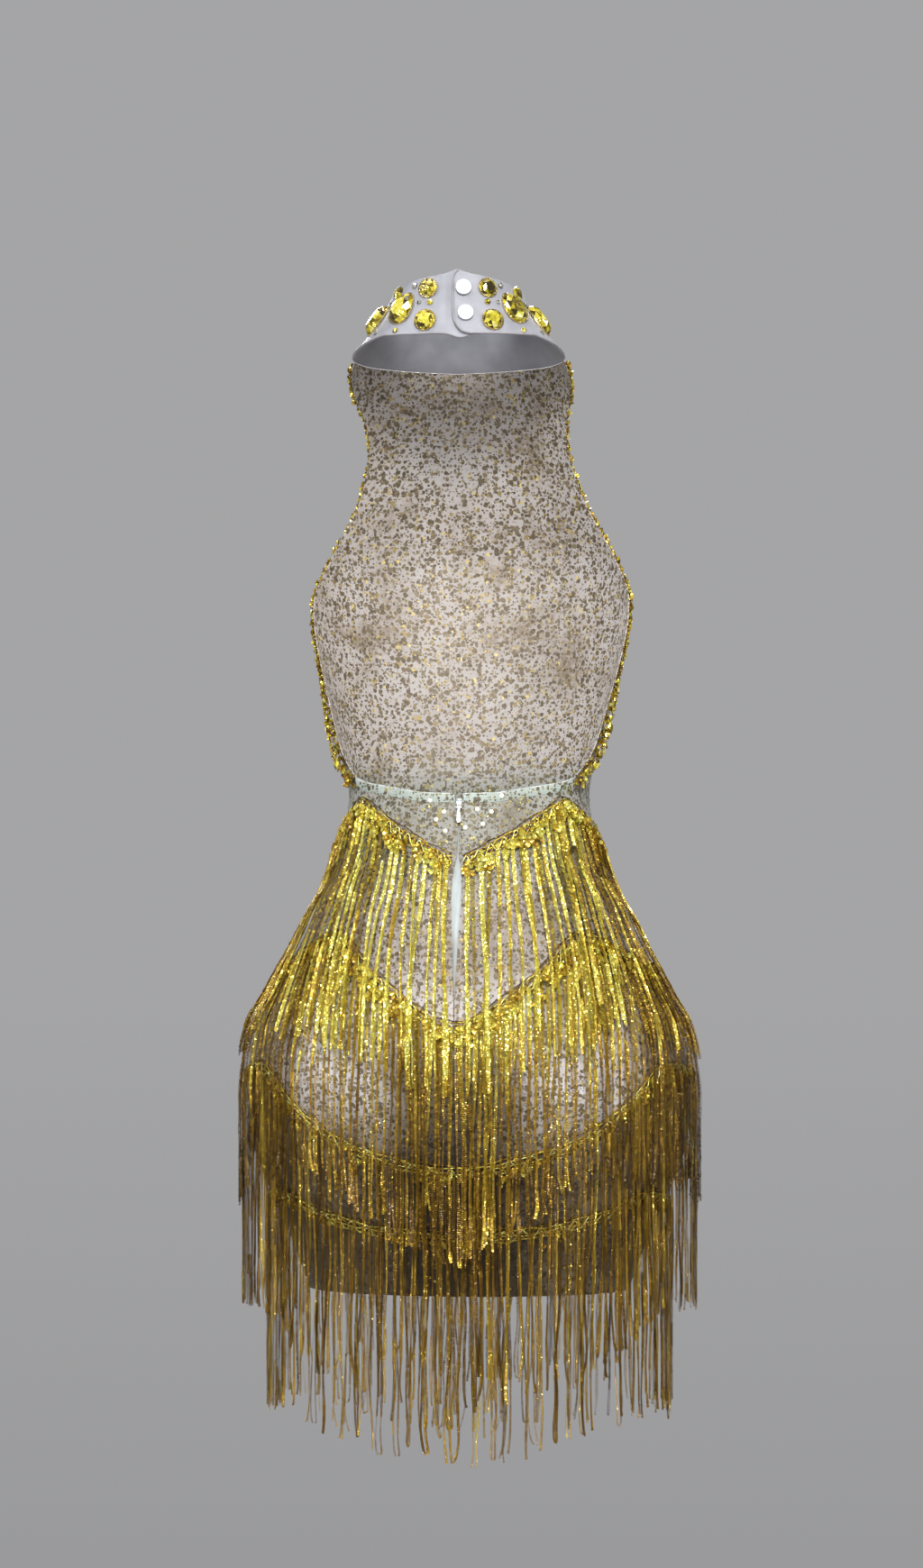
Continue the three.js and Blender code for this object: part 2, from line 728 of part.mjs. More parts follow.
function addZip() {
  const tape = makeWall(3, zipTape.rows + 1, (column, row) => {
    const z = THREE.MathUtils.lerp(zipTape.top, zipTape.bottom, row / zipTape.rows);
    const ring = bodyRing(z);
    const angle = THREE.MathUtils.radToDeg(Math.asin(zipTape.halfWidth / ring.half)) * (column - 1);
    return {
      inner: ringPoint(ring, angle, zipTape.inner),
      outer: ringPoint(ring, angle, zipTape.outer),
    };
  });
  addPiece('zip_tape', tape, materials.tape);

  // The slider's own frame: y out of the cloth, z up along it.
  const rise = 10;
  const slope = Math.atan2(bodyRing(slider.z - rise).back - bodyRing(slider.z + rise).back, 2 * rise);
  const zip = new THREE.Group();
  const standOff = clothWall / Math.cos(slope) + slider.stand;
  zip.position.set(middleAt(slider.z), bodyRing(slider.z).back + standOff, slider.z);
  zip.rotation.x = slope;
  group.add(zip);

  const shield = new THREE.Shape();
  const half = slider.width / 2;
  shield.moveTo(-slider.footHalf, slider.bottom);
  shield.lineTo(slider.footHalf, slider.bottom);
  shield.lineTo(half, slider.shoulder);
  shield.lineTo(slider.headHalf, slider.top);
  shield.lineTo(-slider.headHalf, slider.top);
  shield.lineTo(-half, slider.shoulder);
  shield.closePath();
  const plate = new THREE.ExtrudeGeometry(shield, { depth: slider.thickness, bevelEnabled: false });
  plate.rotateX(Math.PI / 2);
  plate.translate(0, slider.thickness, 0);

  // Each ear runs from the plate's lower end to round the pin.
  const ear = new THREE.Shape();
  ear.moveTo(0, slider.bottom + 1);
  ear.lineTo(0, slider.pinDrop - 0.6);
  ear.lineTo(slider.pinHeight - 0.7, slider.pinDrop - slider.earRadius);
  ear.lineTo(slider.pinHeight + slider.earRadius, slider.pinDrop - 0.7);
  ear.lineTo(slider.pinHeight + slider.earRadius, slider.pinDrop + 0.8);
  ear.lineTo(slider.thickness, slider.bottom + 1);
  ear.closePath();
  let body = toSolid(plate);
  for (const sense of [-1, 1]) {
    const earWall = slider.earOuter - slider.earInner;
    const earGeometry = new THREE.ExtrudeGeometry(ear, { depth: earWall, bevelEnabled: false });
    // The ear is drawn in y and z, and its depth runs along x.
    earGeometry.applyMatrix4(
      new THREE.Matrix4().makeBasis(
        new THREE.Vector3(0, 1, 0),
        new THREE.Vector3(0, 0, 1),
        new THREE.Vector3(1, 0, 0),
      ),
    );
    earGeometry.translate(sense > 0 ? slider.earInner : -slider.earOuter, 0, 0);
    body = body.add(toSolid(earGeometry));
  }
  const pin = new THREE.CylinderGeometry(slider.pinRadius, slider.pinRadius, 2 * slider.pinHalf, 12);
  pin.rotateZ(Math.PI / 2);
  pin.translate(0, slider.pinHeight, slider.pinDrop);
  body = body.add(toSolid(pin));
  const sliderMesh = addPiece('zip_slider', toGeometry(body), materials.zipMetal);
  zip.add(sliderMesh);

  // The pull: a barrel eye round the pin and a flat drop below it.
  const drop = new THREE.Shape();
  drop.moveTo(-pull.neckHalf, pull.neckTop);
  drop.lineTo(-pull.neckHalf, pull.neckBottom);
  drop.quadraticCurveTo(-pull.halfWidth, pull.swell, -pull.halfWidth, pull.roundMiddle);
  drop.absarc(0, pull.roundMiddle, pull.halfWidth, Math.PI, 2 * Math.PI, false);
  drop.quadraticCurveTo(pull.halfWidth, pull.swell, pull.neckHalf, pull.neckBottom);
  drop.lineTo(pull.neckHalf, pull.neckTop);
  drop.closePath();
  const leaf = new THREE.ExtrudeGeometry(drop, {
    depth: pull.thickness,
    bevelEnabled: false,
    curveSegments: 6,
  });
  leaf.rotateX(Math.PI / 2);
  leaf.translate(0, pull.thickness / 2, 0);
  const eye = new THREE.CylinderGeometry(pull.eyeRadius, pull.eyeRadius, 2 * pull.eyeHalf, 16);
  eye.rotateZ(Math.PI / 2);
  const hole = new THREE.CylinderGeometry(pull.eyeHole, pull.eyeHole, 4 * pull.eyeHalf, 16);
  hole.rotateZ(Math.PI / 2);
  const pullBody = toSolid(leaf).add(toSolid(eye)).subtract(toSolid(hole));
  const pullMesh = addPiece('zip_pull', toGeometry(pullBody), materials.zipMetal);
  pullMesh.position.set(0, slider.pinHeight, slider.pinDrop);
  zip.add(pullMesh);
}

// ---------------------------------------------------------------- the dress

addCollar();
addSnaps();
addStones();
addBodice();
addSkirt();
addZip();
for (let tierIndex = 0; tierIndex < tiers.length; tierIndex += 1) {
  addTier(tierIndex);
}

export default group;
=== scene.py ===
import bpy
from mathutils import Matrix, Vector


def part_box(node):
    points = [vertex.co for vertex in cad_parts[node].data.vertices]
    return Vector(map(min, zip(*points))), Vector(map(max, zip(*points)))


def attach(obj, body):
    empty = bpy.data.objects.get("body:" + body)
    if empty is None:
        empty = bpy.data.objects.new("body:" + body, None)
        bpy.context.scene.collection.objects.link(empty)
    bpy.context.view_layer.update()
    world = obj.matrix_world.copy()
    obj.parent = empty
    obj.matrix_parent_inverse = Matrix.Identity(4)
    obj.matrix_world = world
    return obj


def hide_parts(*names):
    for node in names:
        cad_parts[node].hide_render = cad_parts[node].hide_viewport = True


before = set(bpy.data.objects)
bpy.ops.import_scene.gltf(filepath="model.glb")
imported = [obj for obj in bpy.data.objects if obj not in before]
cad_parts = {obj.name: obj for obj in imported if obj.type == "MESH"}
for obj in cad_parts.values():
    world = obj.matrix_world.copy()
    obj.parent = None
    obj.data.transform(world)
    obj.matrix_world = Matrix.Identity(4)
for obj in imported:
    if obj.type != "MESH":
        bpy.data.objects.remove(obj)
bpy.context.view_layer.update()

import math

import bpy
import numpy as np
from mathutils import Matrix, Vector

mm = 0.001
scene = bpy.context.scene
random = np.random.default_rng(41)

# the body that the dress hangs on, where angles are degrees from centre back
bodyForm = {
    "rings": [  # height, half width, depth to the front, depth to the back
        (-45, 94, 80, 70),
        (-90, 110, 92, 78),
        (-150, 135, 112, 90),
        (-215, 148, 128, 95),
        (-260, 148, 125, 95),
        (-345, 127, 106, 85),
        (-395, 115, 94, 82),
        (-430, 107, 88, 80),
        (-458, 109, 90, 86),
        (-502, 121, 98, 99),
        (-556, 144, 105, 116),
        (-610, 173, 110, 126),
        (-640, 186, 112, 128),
        (-675, 194, 112, 127),
        (-710, 197, 110, 123),
        (-750, 193, 106, 115),
        (-790, 178, 100, 106),
        (-830, 160, 95, 98),
        (-877, 142, 90, 90),
    ],
    "lean": -9.6,  # sideways, from one height down to another
    "leanFrom": -45,
    "leanTo": -345,
}


def smoothStep(value, low, high):
    share = np.clip((value - low) / (high - low), 0, 1)
    return share * share * (3 - 2 * share)


def smoothTable(rows, column, at):
    table = np.asarray(sorted(rows), float)
    key, value = table[:, 0], table[:, column]
    slope = np.empty_like(value)
    slope[1:-1] = (value[2:] - value[:-2]) / (key[2:] - key[:-2])
    slope[0] = (value[1] - value[0]) / (key[1] - key[0])
    slope[-1] = (value[-1] - value[-2]) / (key[-1] - key[-2])
    at = np.asarray(at, float)
    row = np.clip(np.searchsorted(key, at, side="right") - 1, 0, len(key) - 2)
    span = key[row + 1] - key[row]
    share = np.clip((at - key[row]) / span, 0, 1)
    squared, cubed = share**2, share**3
    return (
        (2 * cubed - 3 * squared + 1) * value[row]
        + (cubed - 2 * squared + share) * span * slope[row]
        + (3 * squared - 2 * cubed) * value[row + 1]
        + (cubed - squared) * span * slope[row + 1]
    )


def straightTable(rows, at):
    table = np.asarray(sorted(rows), float)
    return np.interp(at, table[:, 0], table[:, 1])


def fromBack(angle):
    turned = np.mod(angle, 360)
    return np.where(turned > 180, 360 - turned, turned)


def bodySize(z):  # half width, front depth, back depth
    return [smoothTable(bodyForm["rings"], column, z) for column in (1, 2, 3)]


def middleAt(z):
    return bodyForm["lean"] * smoothStep(-np.asarray(z, float), -bodyForm["leanFrom"], -bodyForm["leanTo"])


def aroundBody(z, angle, offset):
    half, front, back = bodySize(z)
    turn = np.radians(angle)
    depth = np.where(np.cos(turn) > 0, back, front)
    x = middleAt(z) + (half + offset) * np.sin(turn)
    y = (depth + offset) * np.cos(turn)
    return np.stack(np.broadcast_arrays(x, y, z), axis=-1)


def bell(value, middle, width):
    return np.exp(-(((value - middle) / width) ** 2))


def softCreases(creases, angle, z):
    total = np.zeros(np.broadcast(angle, z).shape)
    reach = 2.4  # millimetres of cloth for each degree round the hips
    tips = 0.06, 0.94  # shares of its length at which a crease starts and ends
    for fromAngle, fromZ, toAngle, toZ, width, height in creases:
        across = (np.mod(angle - fromAngle + 180, 360) - 180) * reach
        down = z - fromZ
        spanAcross, spanDown = (toAngle - fromAngle) * reach, toZ - fromZ
        along = np.clip((across * spanAcross + down * spanDown) / (spanAcross**2 + spanDown**2), 0, 1)
        away = np.hypot(across - along * spanAcross, down - along * spanDown)
        total = total + height * bell(away, 0, width) * np.sin(np.pi * np.clip(along, *tips))
    return total


def unit(vectors):
    return vectors / np.linalg.norm(vectors, axis=1, keepdims=True)


def lengthAlong(line):
    return np.concatenate([[0], np.cumsum(np.linalg.norm(np.diff(line, axis=0), axis=1))])


def readAt(at, along, rows):
    return np.stack([np.interp(at, along, rows[:, axis]) for axis in range(3)], axis=1)


# meshes
def deselectAll():
    if bpy.context.object and bpy.context.object.mode != "OBJECT":
        bpy.ops.object.mode_set(mode="OBJECT")
    bpy.ops.object.select_all(action="DESELECT")


def pick(*pieces):
    deselectAll()
    for piece in pieces:
        piece.select_set(True)
    bpy.context.view_layer.objects.active = pieces[0]


def joinPieces(pieces):
    pick(*pieces)
    bpy.ops.object.join()
    return pieces[0]


def meshPiece(name, points, faces, smooth=False):
    points = np.asarray(points, np.float32).reshape(-1, 3) * mm
    faces = np.asarray(faces, np.int32)
    corners = faces.shape[1]
    mesh = bpy.data.meshes.new(name)
    mesh.vertices.add(len(points))
    mesh.vertices.foreach_set("co", points.ravel())
    mesh.loops.add(faces.size)
    mesh.loops.foreach_set("vertex_index", faces.ravel())
    mesh.polygons.add(len(faces))
    mesh.polygons.foreach_set("loop_start", np.arange(0, faces.size, corners, dtype=np.int32))
    mesh.polygons.foreach_set("use_smooth", np.full(len(faces), smooth))
    mesh.update(calc_edges=True)
    mesh.validate()
    piece = bpy.data.objects.new(name, mesh)
    scene.collection.objects.link(piece)
    return piece


def setTint(piece, values):
    attribute = piece.data.attributes.new("tint", "FLOAT", "POINT")
    attribute.data.foreach_set("value", np.clip(values, 0, 1).astype(np.float32))


def applyModifier(piece, kind, **settings):
    modifier = piece.modifiers.new(kind.title(), kind)
    for key, value in settings.items():
        setattr(modifier, key, value)
    pick(piece)
    bpy.ops.object.modifier_apply(modifier=modifier.name)


def smoothUnder(piece, degrees):
    pick(piece)
    bpy.ops.object.shade_smooth_by_angle(angle=math.radians(degrees))


def clothShell(name, points, thickness):
    columns, rows = points.shape[:2]
    column, row = np.meshgrid(np.arange(columns - 1), np.arange(rows - 1), indexing="ij")
    first = (column * rows + row).ravel()
    faces = np.stack([first, first + rows, first + rows + 1, first + 1], axis=1)
    piece = meshPiece(name, points, faces, smooth=True)
    applyModifier(piece, "SOLIDIFY", thickness=thickness * mm, offset=0)
    smoothUnder(piece, 50)
    return piece


def threadTubes(name, paths, radius, sides=4):
    points, faces, start = [], [], 0
    around = np.arange(sides) * 2 * np.pi / sides
    for path in paths:
        along = unit(np.gradient(path, axis=0))
        side = np.cross(along, (0.0, 0.0, 1.0))
        side[np.linalg.norm(side, axis=1) < 1e-3] = (1, 0, 0)
        side = unit(side)
        up = np.cross(side, along)
        ring = side[:, None] * np.cos(around)[None, :, None] + up[:, None] * np.sin(around)[None, :, None]
        points.append((path[:, None] + ring * radius).reshape(-1, 3))
        step = np.arange(len(path) - 1)[:, None] * sides
        spot, after = step + np.arange(sides), step + (np.arange(sides) + 1) % sides
        faces.append(np.stack([spot, spot + sides, after + sides, after], axis=-1).reshape(-1, 4) + start)
        for fan in range(0, sides - 2, 2):  # quads that close each end
            caps = np.array([[0, fan + 1, fan + 2, fan + 3]])
            faces += [caps + start, caps[:, ::-1] + start + (len(path) - 1) * sides]
        start += len(path) * sides
    return meshPiece(name, np.concatenate(points), np.concatenate(faces), smooth=True)


def finishPiece(piece, material, replaced=()):
    piece.data.materials.clear()
    piece.data.materials.append(material)
    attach(piece, "dress")
    if replaced:
        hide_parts(*replaced)
    return piece


# finishes
surfaceSockets = {
    "colour": "Base Color",
    "roughness": "Roughness",
    "metallic": "Metallic",
    "coat": "Coat Weight",
    "coatRoughness": "Coat Roughness",
    "sheen": "Sheen Weight",
    "sheenRoughness": "Sheen Roughness",
    "specular": "Specular IOR Level",
}


def shaderOf(material):
    return material.node_tree.nodes["Principled BSDF"]


def newFinish(name, **surface):
    material = bpy.data.materials.new(name)
    material.use_nodes = True
    for key, value in surface.items():
        shaderOf(material).inputs[surfaceSockets[key]].default_value = value
    return material


def feed(material, **surface):  # patterns that drive the shader
    for key, output in surface.items():
        material.node_tree.links.new(output, shaderOf(material).inputs[surfaceSockets[key]])


def setSocket(material, socket, value):
    if isinstance(value, bpy.types.NodeSocket):
        material.node_tree.links.new(value, socket)
    else:
        socket.default_value = value


def addNode(material, kind, settings=None, **inputs):
    node = material.node_tree.nodes.new("ShaderNode" + kind)
    for key, value in (settings or {}).items():
        setattr(node, key, value)
    for key, value in inputs.items():
        setSocket(material, node.inputs[key.replace("_", " ")], value)
    return node


def objectSpot(material):
    return addNode(material, "TexCoord").outputs["Object"]


def ownTint(material):
    return addNode(material, "Attribute", {"attribute_name": "tint"}).outputs["Fac"]


def noise(material, spot, scale, detail, output="Fac", **inputs):
    return addNode(material, "TexNoise", Vector=spot, Scale=scale, Detail=detail, **inputs).outputs[output]


def wave(material, spot, direction, scale, distortion, **inputs):
    inputs.update(Vector=spot, Scale=scale, Distortion=distortion)
    return addNode(material, "TexWave", {"bands_direction": direction}, **inputs).outputs["Fac"]


def mathNode(material, operation, *values):
    node = addNode(material, "Math", {"operation": operation})
    for socket, value in zip(node.inputs, values):
        setSocket(material, socket, value)
    return node.outputs[0]


def scaled(material, value, factor, plus):
    return mathNode(material, "MULTIPLY_ADD", value, factor, plus)


def ramp(material, factor, stops):
    node = addNode(material, "ValToRGB", Fac=factor)
    elements = node.color_ramp.elements
    while len(elements) < len(stops):
        elements.new(0.5)
    for element, (position, colour) in zip(elements, stops):
        element.position = position
        element.color = (*colour, 1)
    return node.outputs["Color"]


def mixColour(material, factor, first, second, blend="MIX"):
    node = addNode(material, "Mix", {"data_type": "RGBA", "blend_type": blend})
    for index, value in ((0, factor), (6, first), (7, second)):
        setSocket(material, node.inputs[index], (*value, 1) if isinstance(value, tuple) else value)
    return node.outputs[2]


def bumpFrom(material, height, strength, distance):
    node = addNode(material, "Bump", Strength=strength, Distance=distance, Height=height)
    material.node_tree.links.new(node.outputs["Normal"], shaderOf(material).inputs["Normal"])


def glitterDots(material, spot, scale, size, cover):
    bend = 0.55 / scale  # the cells are bent out of round by as much
    shifted = addNode(material, "VectorMath", {"operation": "MULTIPLY_ADD"})
    shift = noise(material, spot, scale * 1.3, 1.0, "Color")
    for socket, value in zip(shifted.inputs, (shift, (bend, bend, bend), spot)):
        setSocket(material, socket, value)
    cells = addNode(material, "TexVoronoi", Vector=shifted.outputs[0], Scale=scale, Randomness=0.9)
    parts = addNode(material, "SeparateColor", Color=cells.outputs["Color"])
    inside = mathNode(
        material, "LESS_THAN", cells.outputs["Distance"], scaled(material, parts.outputs[0], size, size * 0.6)
    )
    kept = mathNode(material, "LESS_THAN", parts.outputs[2], cover)
    return mathNode(material, "MULTIPLY", inside, kept), parts.outputs[1]


def fadeBetween(material, value, start, end, most=1.0):
    node = addNode(material, "MapRange", Value=value, From_Min=start, From_Max=end, To_Max=most)
    return node.outputs["Result"]


glitterMesh = {
    "flakes": [(205.0, 0.36), (290.0, 0.34), (400.0, 0.28)],  # cells in a metre, size in a cell
    "flakeRamp": [
        (0.0, (0.14, 0.11, 0.07)),
        (0.45, (0.21, 0.17, 0.115)),
        (0.8, (0.30, 0.245, 0.16)),
        (0.95, (0.5, 0.40, 0.16)),
        (1.0, (0.95, 0.8, 0.35)),
    ],
    "middle": 0.0096,  # the waist leans aside by this, in metres
    "paintedShades": [  # painted shade: where the cloth is darkened, by height or distance aside in metres, and by how much
        ([("height", -0.64, -0.58)], (0.63, 0.61, 0.57)),
        ([("height", -0.53, -0.48), ("height", -0.40, -0.43)], (0.80, 0.885, 0.86)),
        ([("height", -0.70, -0.77, 0.93)], (0.21, 0.165, 0.085)),
        ([("aside", 0.085, 0.035), ("height", -0.645, -0.69)], (0.27, 0.22, 0.13)),
        ([("height", -0.64, -0.58), ("height", -0.43, -0.47)], (0.84, 0.81, 0.78)),
        ([("aside", 0.135, 0.17), ("height", -0.58, -0.68)], (0.42, 0.34, 0.2)),
    ],
}


def makeGlitterMesh(name, cloth, taupe, cover):
    material = newFinish(name, sheen=0.06, sheenRoughness=0.4)
    spot = objectSpot(material)
    apart = addNode(material, "SeparateXYZ", Vector=spot)
    height = apart.outputs["Z"]
    aside = mathNode(material, "ADD", apart.outputs["X"], glitterMesh["middle"])
    places = {"height": height, "aside": mathNode(material, "ABSOLUTE", aside)}
    patches = noise(material, spot, 16.0, 3.0, Roughness=0.6)
    blend = scaled(material, noise(material, spot, 260.0, 2.0), 0.3, patches)
    # painted shade: the cloth turns towards the taupe lower down
    blend = mathNode(material, "ADD", blend, fadeBetween(material, height, -0.70, -0.82, 0.08))
    half = tuple(0.7 * a + 0.3 * b for a, b in zip(cloth, taupe))
    colour, metal = ramp(material, blend, [(0.5, cloth), (0.68, half), (0.85, taupe)]), None
    for scale, size in glitterMesh["flakes"]:
        chosen, shade = glitterDots(material, spot, scale, size, cover)
        colour = mixColour(material, chosen, colour, ramp(material, shade, glitterMesh["flakeRamp"]))
        metal = chosen if metal is None else mathNode(material, "MAXIMUM", metal, chosen)
    # painted shade laid over the cloth and its flakes
    for fades, shadeColour in glitterMesh["paintedShades"]:
        shares = [fadeBetween(material, places[way], *ends) for way, *ends in fades]
        share = shares[0] if len(shares) == 1 else mathNode(material, "MULTIPLY", *shares)
        colour = mixColour(material, share, colour, mixColour(material, 1.0, colour, shadeColour, "MULTIPLY"))
    metallic = mathNode(material, "MULTIPLY", metal, 0.3)
    feed(material, colour=colour, metallic=metallic, roughness=scaled(material, metal, -0.35, 0.72))
    net = addNode(material, "TexVoronoi", {"feature": "DISTANCE_TO_EDGE"}, Vector=spot, Scale=1100.0)
    bumpFrom(material, scaled(material, metal, 0.6, net.outputs["Distance"]), 0.5, 0.0006)
    return material


goldRamp = [
    (0.0, (0.035, 0.02, 0.004)),
    (0.25, (0.215, 0.112, 0.012)),
    (0.5, (0.54, 0.335, 0.03)),
    (0.75, (0.76, 0.69, 0.09)),
    (1.0, (0.93, 0.94, 0.40)),
]


def makeSequinGold():
    material = newFinish("gold_sequins", coat=0.3, coatRoughness=0.07, specular=0.4)
    tint, spot = ownTint(material), objectSpot(material)
    cloud, speck = noise(material, spot, 60.0, 2.0), noise(material, spot, 900.0, 2.0)
    shifted = scaled(material, cloud, 0.24, mathNode(material, "SUBTRACT", tint, 0.12))
    dull = scaled(material, tint, -0.36, 0.40)  # the darker tint, painted shade lower down included, is also the rougher
    feed(
        material,
        colour=ramp(material, shifted, goldRamp),
        roughness=scaled(material, speck, 0.12, dull),
        metallic=scaled(material, tint, 0.45, 0.35),
    )
    bumpFrom(material, speck, 0.1, 0.0004)
    return material


def makeGoldCord():
    material = newFinish("gold_cord", metallic=0.85)
    twist = wave(material, objectSpot(material), "DIAGONAL", 160.0, 1.5)
    shifted = scaled(material, twist, 0.3, mathNode(material, "SUBTRACT", ownTint(material), 0.15))
    feed(material, colour=ramp(material, shifted, goldRamp), roughness=scaled(material, twist, 0.2, 0.28))
    bumpFrom(material, twist, 0.6, 0.0004)
    return material


def makeSatin(name, light, dark, scale, roughness, sheen):
    material = newFinish(name, sheen=sheen, sheenRoughness=0.35, coat=0.08, coatRoughness=0.3)
    spot = objectSpot(material)
    cloud = noise(material, spot, 35.0, 3.0)
    weft = wave(material, spot, "Z", scale, 0.6, Detail=1.0)
    both = mathNode(material, "ADD", weft, wave(material, spot, "X", scale * 0.8, 0.6))
    colour = ramp(material, scaled(material, both, 0.08, cloud), [(0.3, dark), (0.75, light)])
    feed(material, colour=colour, roughness=scaled(material, cloud, 0.2, roughness))
    bumpFrom(material, both, 0.25, 0.0003)
    return material


def makeStone(name, stops, metallic=0.45):
    material = newFinish(name, coat=0.6, coatRoughness=0.03, metallic=metallic)
    # painted reflections: each cell inside the stone, and each facet by its tint, gets its own shade from dark to
    # light
    inner = addNode(material, "TexVoronoi", Vector=objectSpot(material), Scale=420.0)
    parts = addNode(material, "SeparateColor", Color=inner.outputs["Color"])
    blend = scaled(material, parts.outputs[0], 0.28, mathNode(material, "MULTIPLY", ownTint(material), 0.72))
    roughness = scaled(material, parts.outputs[1], 0.12, 0.03)
    feed(material, colour=ramp(material, blend, stops), roughness=roughness)
    bumpFrom(material, inner.outputs["Distance"], 0.25, 0.0006)
    return material


def makeGloss(name, light, dark, metallic, roughness, coat=0.3):
    material = newFinish(name, metallic=metallic, coat=coat, coatRoughness=0.1)
    wear = noise(material, objectSpot(material), 420.0, 4.0)
    colour = ramp(material, wear, [(0.3, dark), (0.6, light)])
    feed(material, colour=colour, roughness=scaled(material, wear, 0.18, roughness))
    bumpFrom(material, wear, 0.1, 0.0003)
    return material


glitterTulle = makeGlitterMesh("glitter_tulle", (0.64, 0.62, 0.65), (0.35, 0.29, 0.24), 0.78)
bandElastic = makeGlitterMesh("waist_elastic", (0.72, 0.78, 0.78), (0.54, 0.57, 0.57), 0.55)
sequinGold = makeSequinGold()
goldCord = makeGoldCord()
collarSatin = makeSatin("collar_satin", (0.29, 0.296, 0.335), (0.19, 0.194, 0.225), 700.0, 0.42, 0.1)
seamSatin = makeSatin("seam_satin", (0.27, 0.26, 0.285), (0.18, 0.17, 0.185), 900.0, 0.45, 0.1)
tapeSatin = makeSatin("zip_tape_satin", (0.42, 0.47, 0.475), (0.25, 0.28, 0.28), 900.0, 0.3, 0.5)
# the stone's own yellow, with painted reflections from near black to cream
yellowStone = makeStone(
    "yellow_stone",
    [
        (0.08, (0.03, 0.022, 0.003)),
        (0.3, (0.15, 0.11, 0.008)),
        (0.55, (0.50, 0.42, 0.02)),
        (0.8, (0.85, 0.76, 0.10)),
        (0.95, (1.0, 0.97, 0.7)),
    ],
)
# a clear stone: its dark to white facets are painted reflections
clearStone = makeStone(
    "clear_stone",
    [(0.0, (0.03, 0.03, 0.025)), (0.4, (0.16, 0.15, 0.12)), (0.75, (0.5, 0.49, 0.42)), (1.0, (0.9, 0.9, 0.85))],
)
# the stone's own pale colour, with painted reflections lighter and darker across its facets
paleStone = makeStone(
    "pale_stone", [(0.0, (0.5, 0.49, 0.36)), (0.3, (0.9, 0.88, 0.7)), (0.6, (1.0, 0.98, 0.87))], metallic=0.1
)
settingGold = makeGloss("stone_setting", (0.80, 0.66, 0.30), (0.42, 0.30, 0.09), 0.95, 0.18)
snapEnamel = makeGloss("snap_enamel", (0.60, 0.66, 0.66), (0.46, 0.51, 0.52), 0.0, 0.14, 0.6)
sliderMetal = makeGloss("slider_metal", (0.42, 0.45, 0.44), (0.28, 0.30, 0.29), 0.8, 0.25)
pullMetal = makeGloss("pull_metal", (0.80, 0.82, 0.80), (0.60, 0.63, 0.61), 0.7, 0.2)
print("finishes done")

# skirt, waist band and bodice
waistLine = [(0, -434), (18, -433), (36, -428), (54, -424), (63, -420), (180, -420)]

skirtCut = {
    "hem": -877,
    "sideSeam": 63,  # degrees from centre back
    "seam": 0.066,
    "middle": 0.7,  # the cloth's middle, outward of the body's line
    "thickness": 0.9,
    "rows": 62,
    "step": 2.4,  # degrees between the columns
    "reach": 9.0,  # degrees, the opening draws the columns aside as far as this
    "edgeFlat": 5,  # degrees, so far from centre back the cloth stands out no more than edgeMost
    "edgeMost": 1.1,
    "hemRoll": 0.25,
    "hemWaves": 23,
    "hemFrom": -800,
    "backBelow": 8.5,  # the back starts under the waist band
    "frontBelow": 0.15,
    "opening": [(-430, 0.7), (-488, 0.7), (-504, 3.6), (-524, 4.8), (-552, 3.2), (-610, 0.4), (-640, 0.2)],
    "backCreases": [  # from angle, from height, to angle, to height, width, height
        (4, -470, 22, -462, 4, 0.5),
        (6, -486, 26, -474, 5, -0.5),
        (2, -452, 40, -446, 4, 0.35),
        (-4, -470, -24, -461, 4, 0.5),
        (-6, -488, -22, -476, 5, -0.45),
        (-2, -453, -38, -444, 4, 0.3),
        (5, -530, 10, -600, 6, 0.8),
        (-5, -530, -11, -605, 6, 0.7),
        (3, -640, 40, -622, 7, 0.6),
        (-3, -648, -42, -630, 7, 0.6),
        (8, -690, 36, -706, 8, -0.6),
        (-9, -700, -34, -712, 8, -0.6),
        (0, -742, 30, -752, 7, 0.7),
        (2, -760, -32, -768, 7, 0.7),
        (10, -800, 44, -806, 7, 0.6),
        (-12, -806, -46, -812, 7, 0.6),
        (-50, -850, 48, -846, 6, 0.5),
    ],
    "frontCreases": [
        (150, -440, 186, -452, 5, 0.5),
        (205, -446, 176, -462, 6, -0.5),
        (120, -520, 150, -560, 7, 0.6),
        (240, -524, 212, -566, 7, 0.6),
        (140, -660, 190, -672, 8, 0.6),
        (222, -700, 172, -712, 8, -0.6),
        (100, -760, 150, -774, 7, 0.6),
        (262, -764, 214, -780, 7, 0.6),
        (96, -846, 268, -850, 6, 0.5),
    ],
}


def waistAt(angle):
    return straightTable(waistLine, fromBack(angle))


def skirtGrid(angles, below, creases, opening=False):
    share = np.linspace(0, 1, skirtCut["rows"])[None]
    angles = angles[:, None]
    top = waistAt(angles) - below
    z = top + (skirtCut["hem"] - top) * share
    turned = np.broadcast_to(angles, z.shape).copy()
    if opening:
        edge = np.degrees(np.arcsin(straightTable(skirtCut["opening"], z) / bodySize(z)[0]))
        away, reach = fromBack(turned), skirtCut["reach"]
        away = np.where(away < reach, edge + away * (reach - edge) / reach, away)
        turned = np.where(turned > 180, 360 - away, away)
    offset = skirtCut["middle"] + softCreases(creases, turned, z)
    hemward = smoothStep(-z, -skirtCut["hemFrom"], -skirtCut["hem"])
    offset += skirtCut["hemRoll"] * np.sin(np.radians(turned) * skirtCut["hemWaves"]) * hemward
    if opening:
        beside = fromBack(turned) < skirtCut["edgeFlat"]
        offset = np.where(beside, np.minimum(offset, skirtCut["edgeMost"]), offset)
    return aroundBody(z, turned, offset)


def angleSteps(start, end, step):
    return np.linspace(start, end, max(2, int(round((end - start) / step)) + 1))


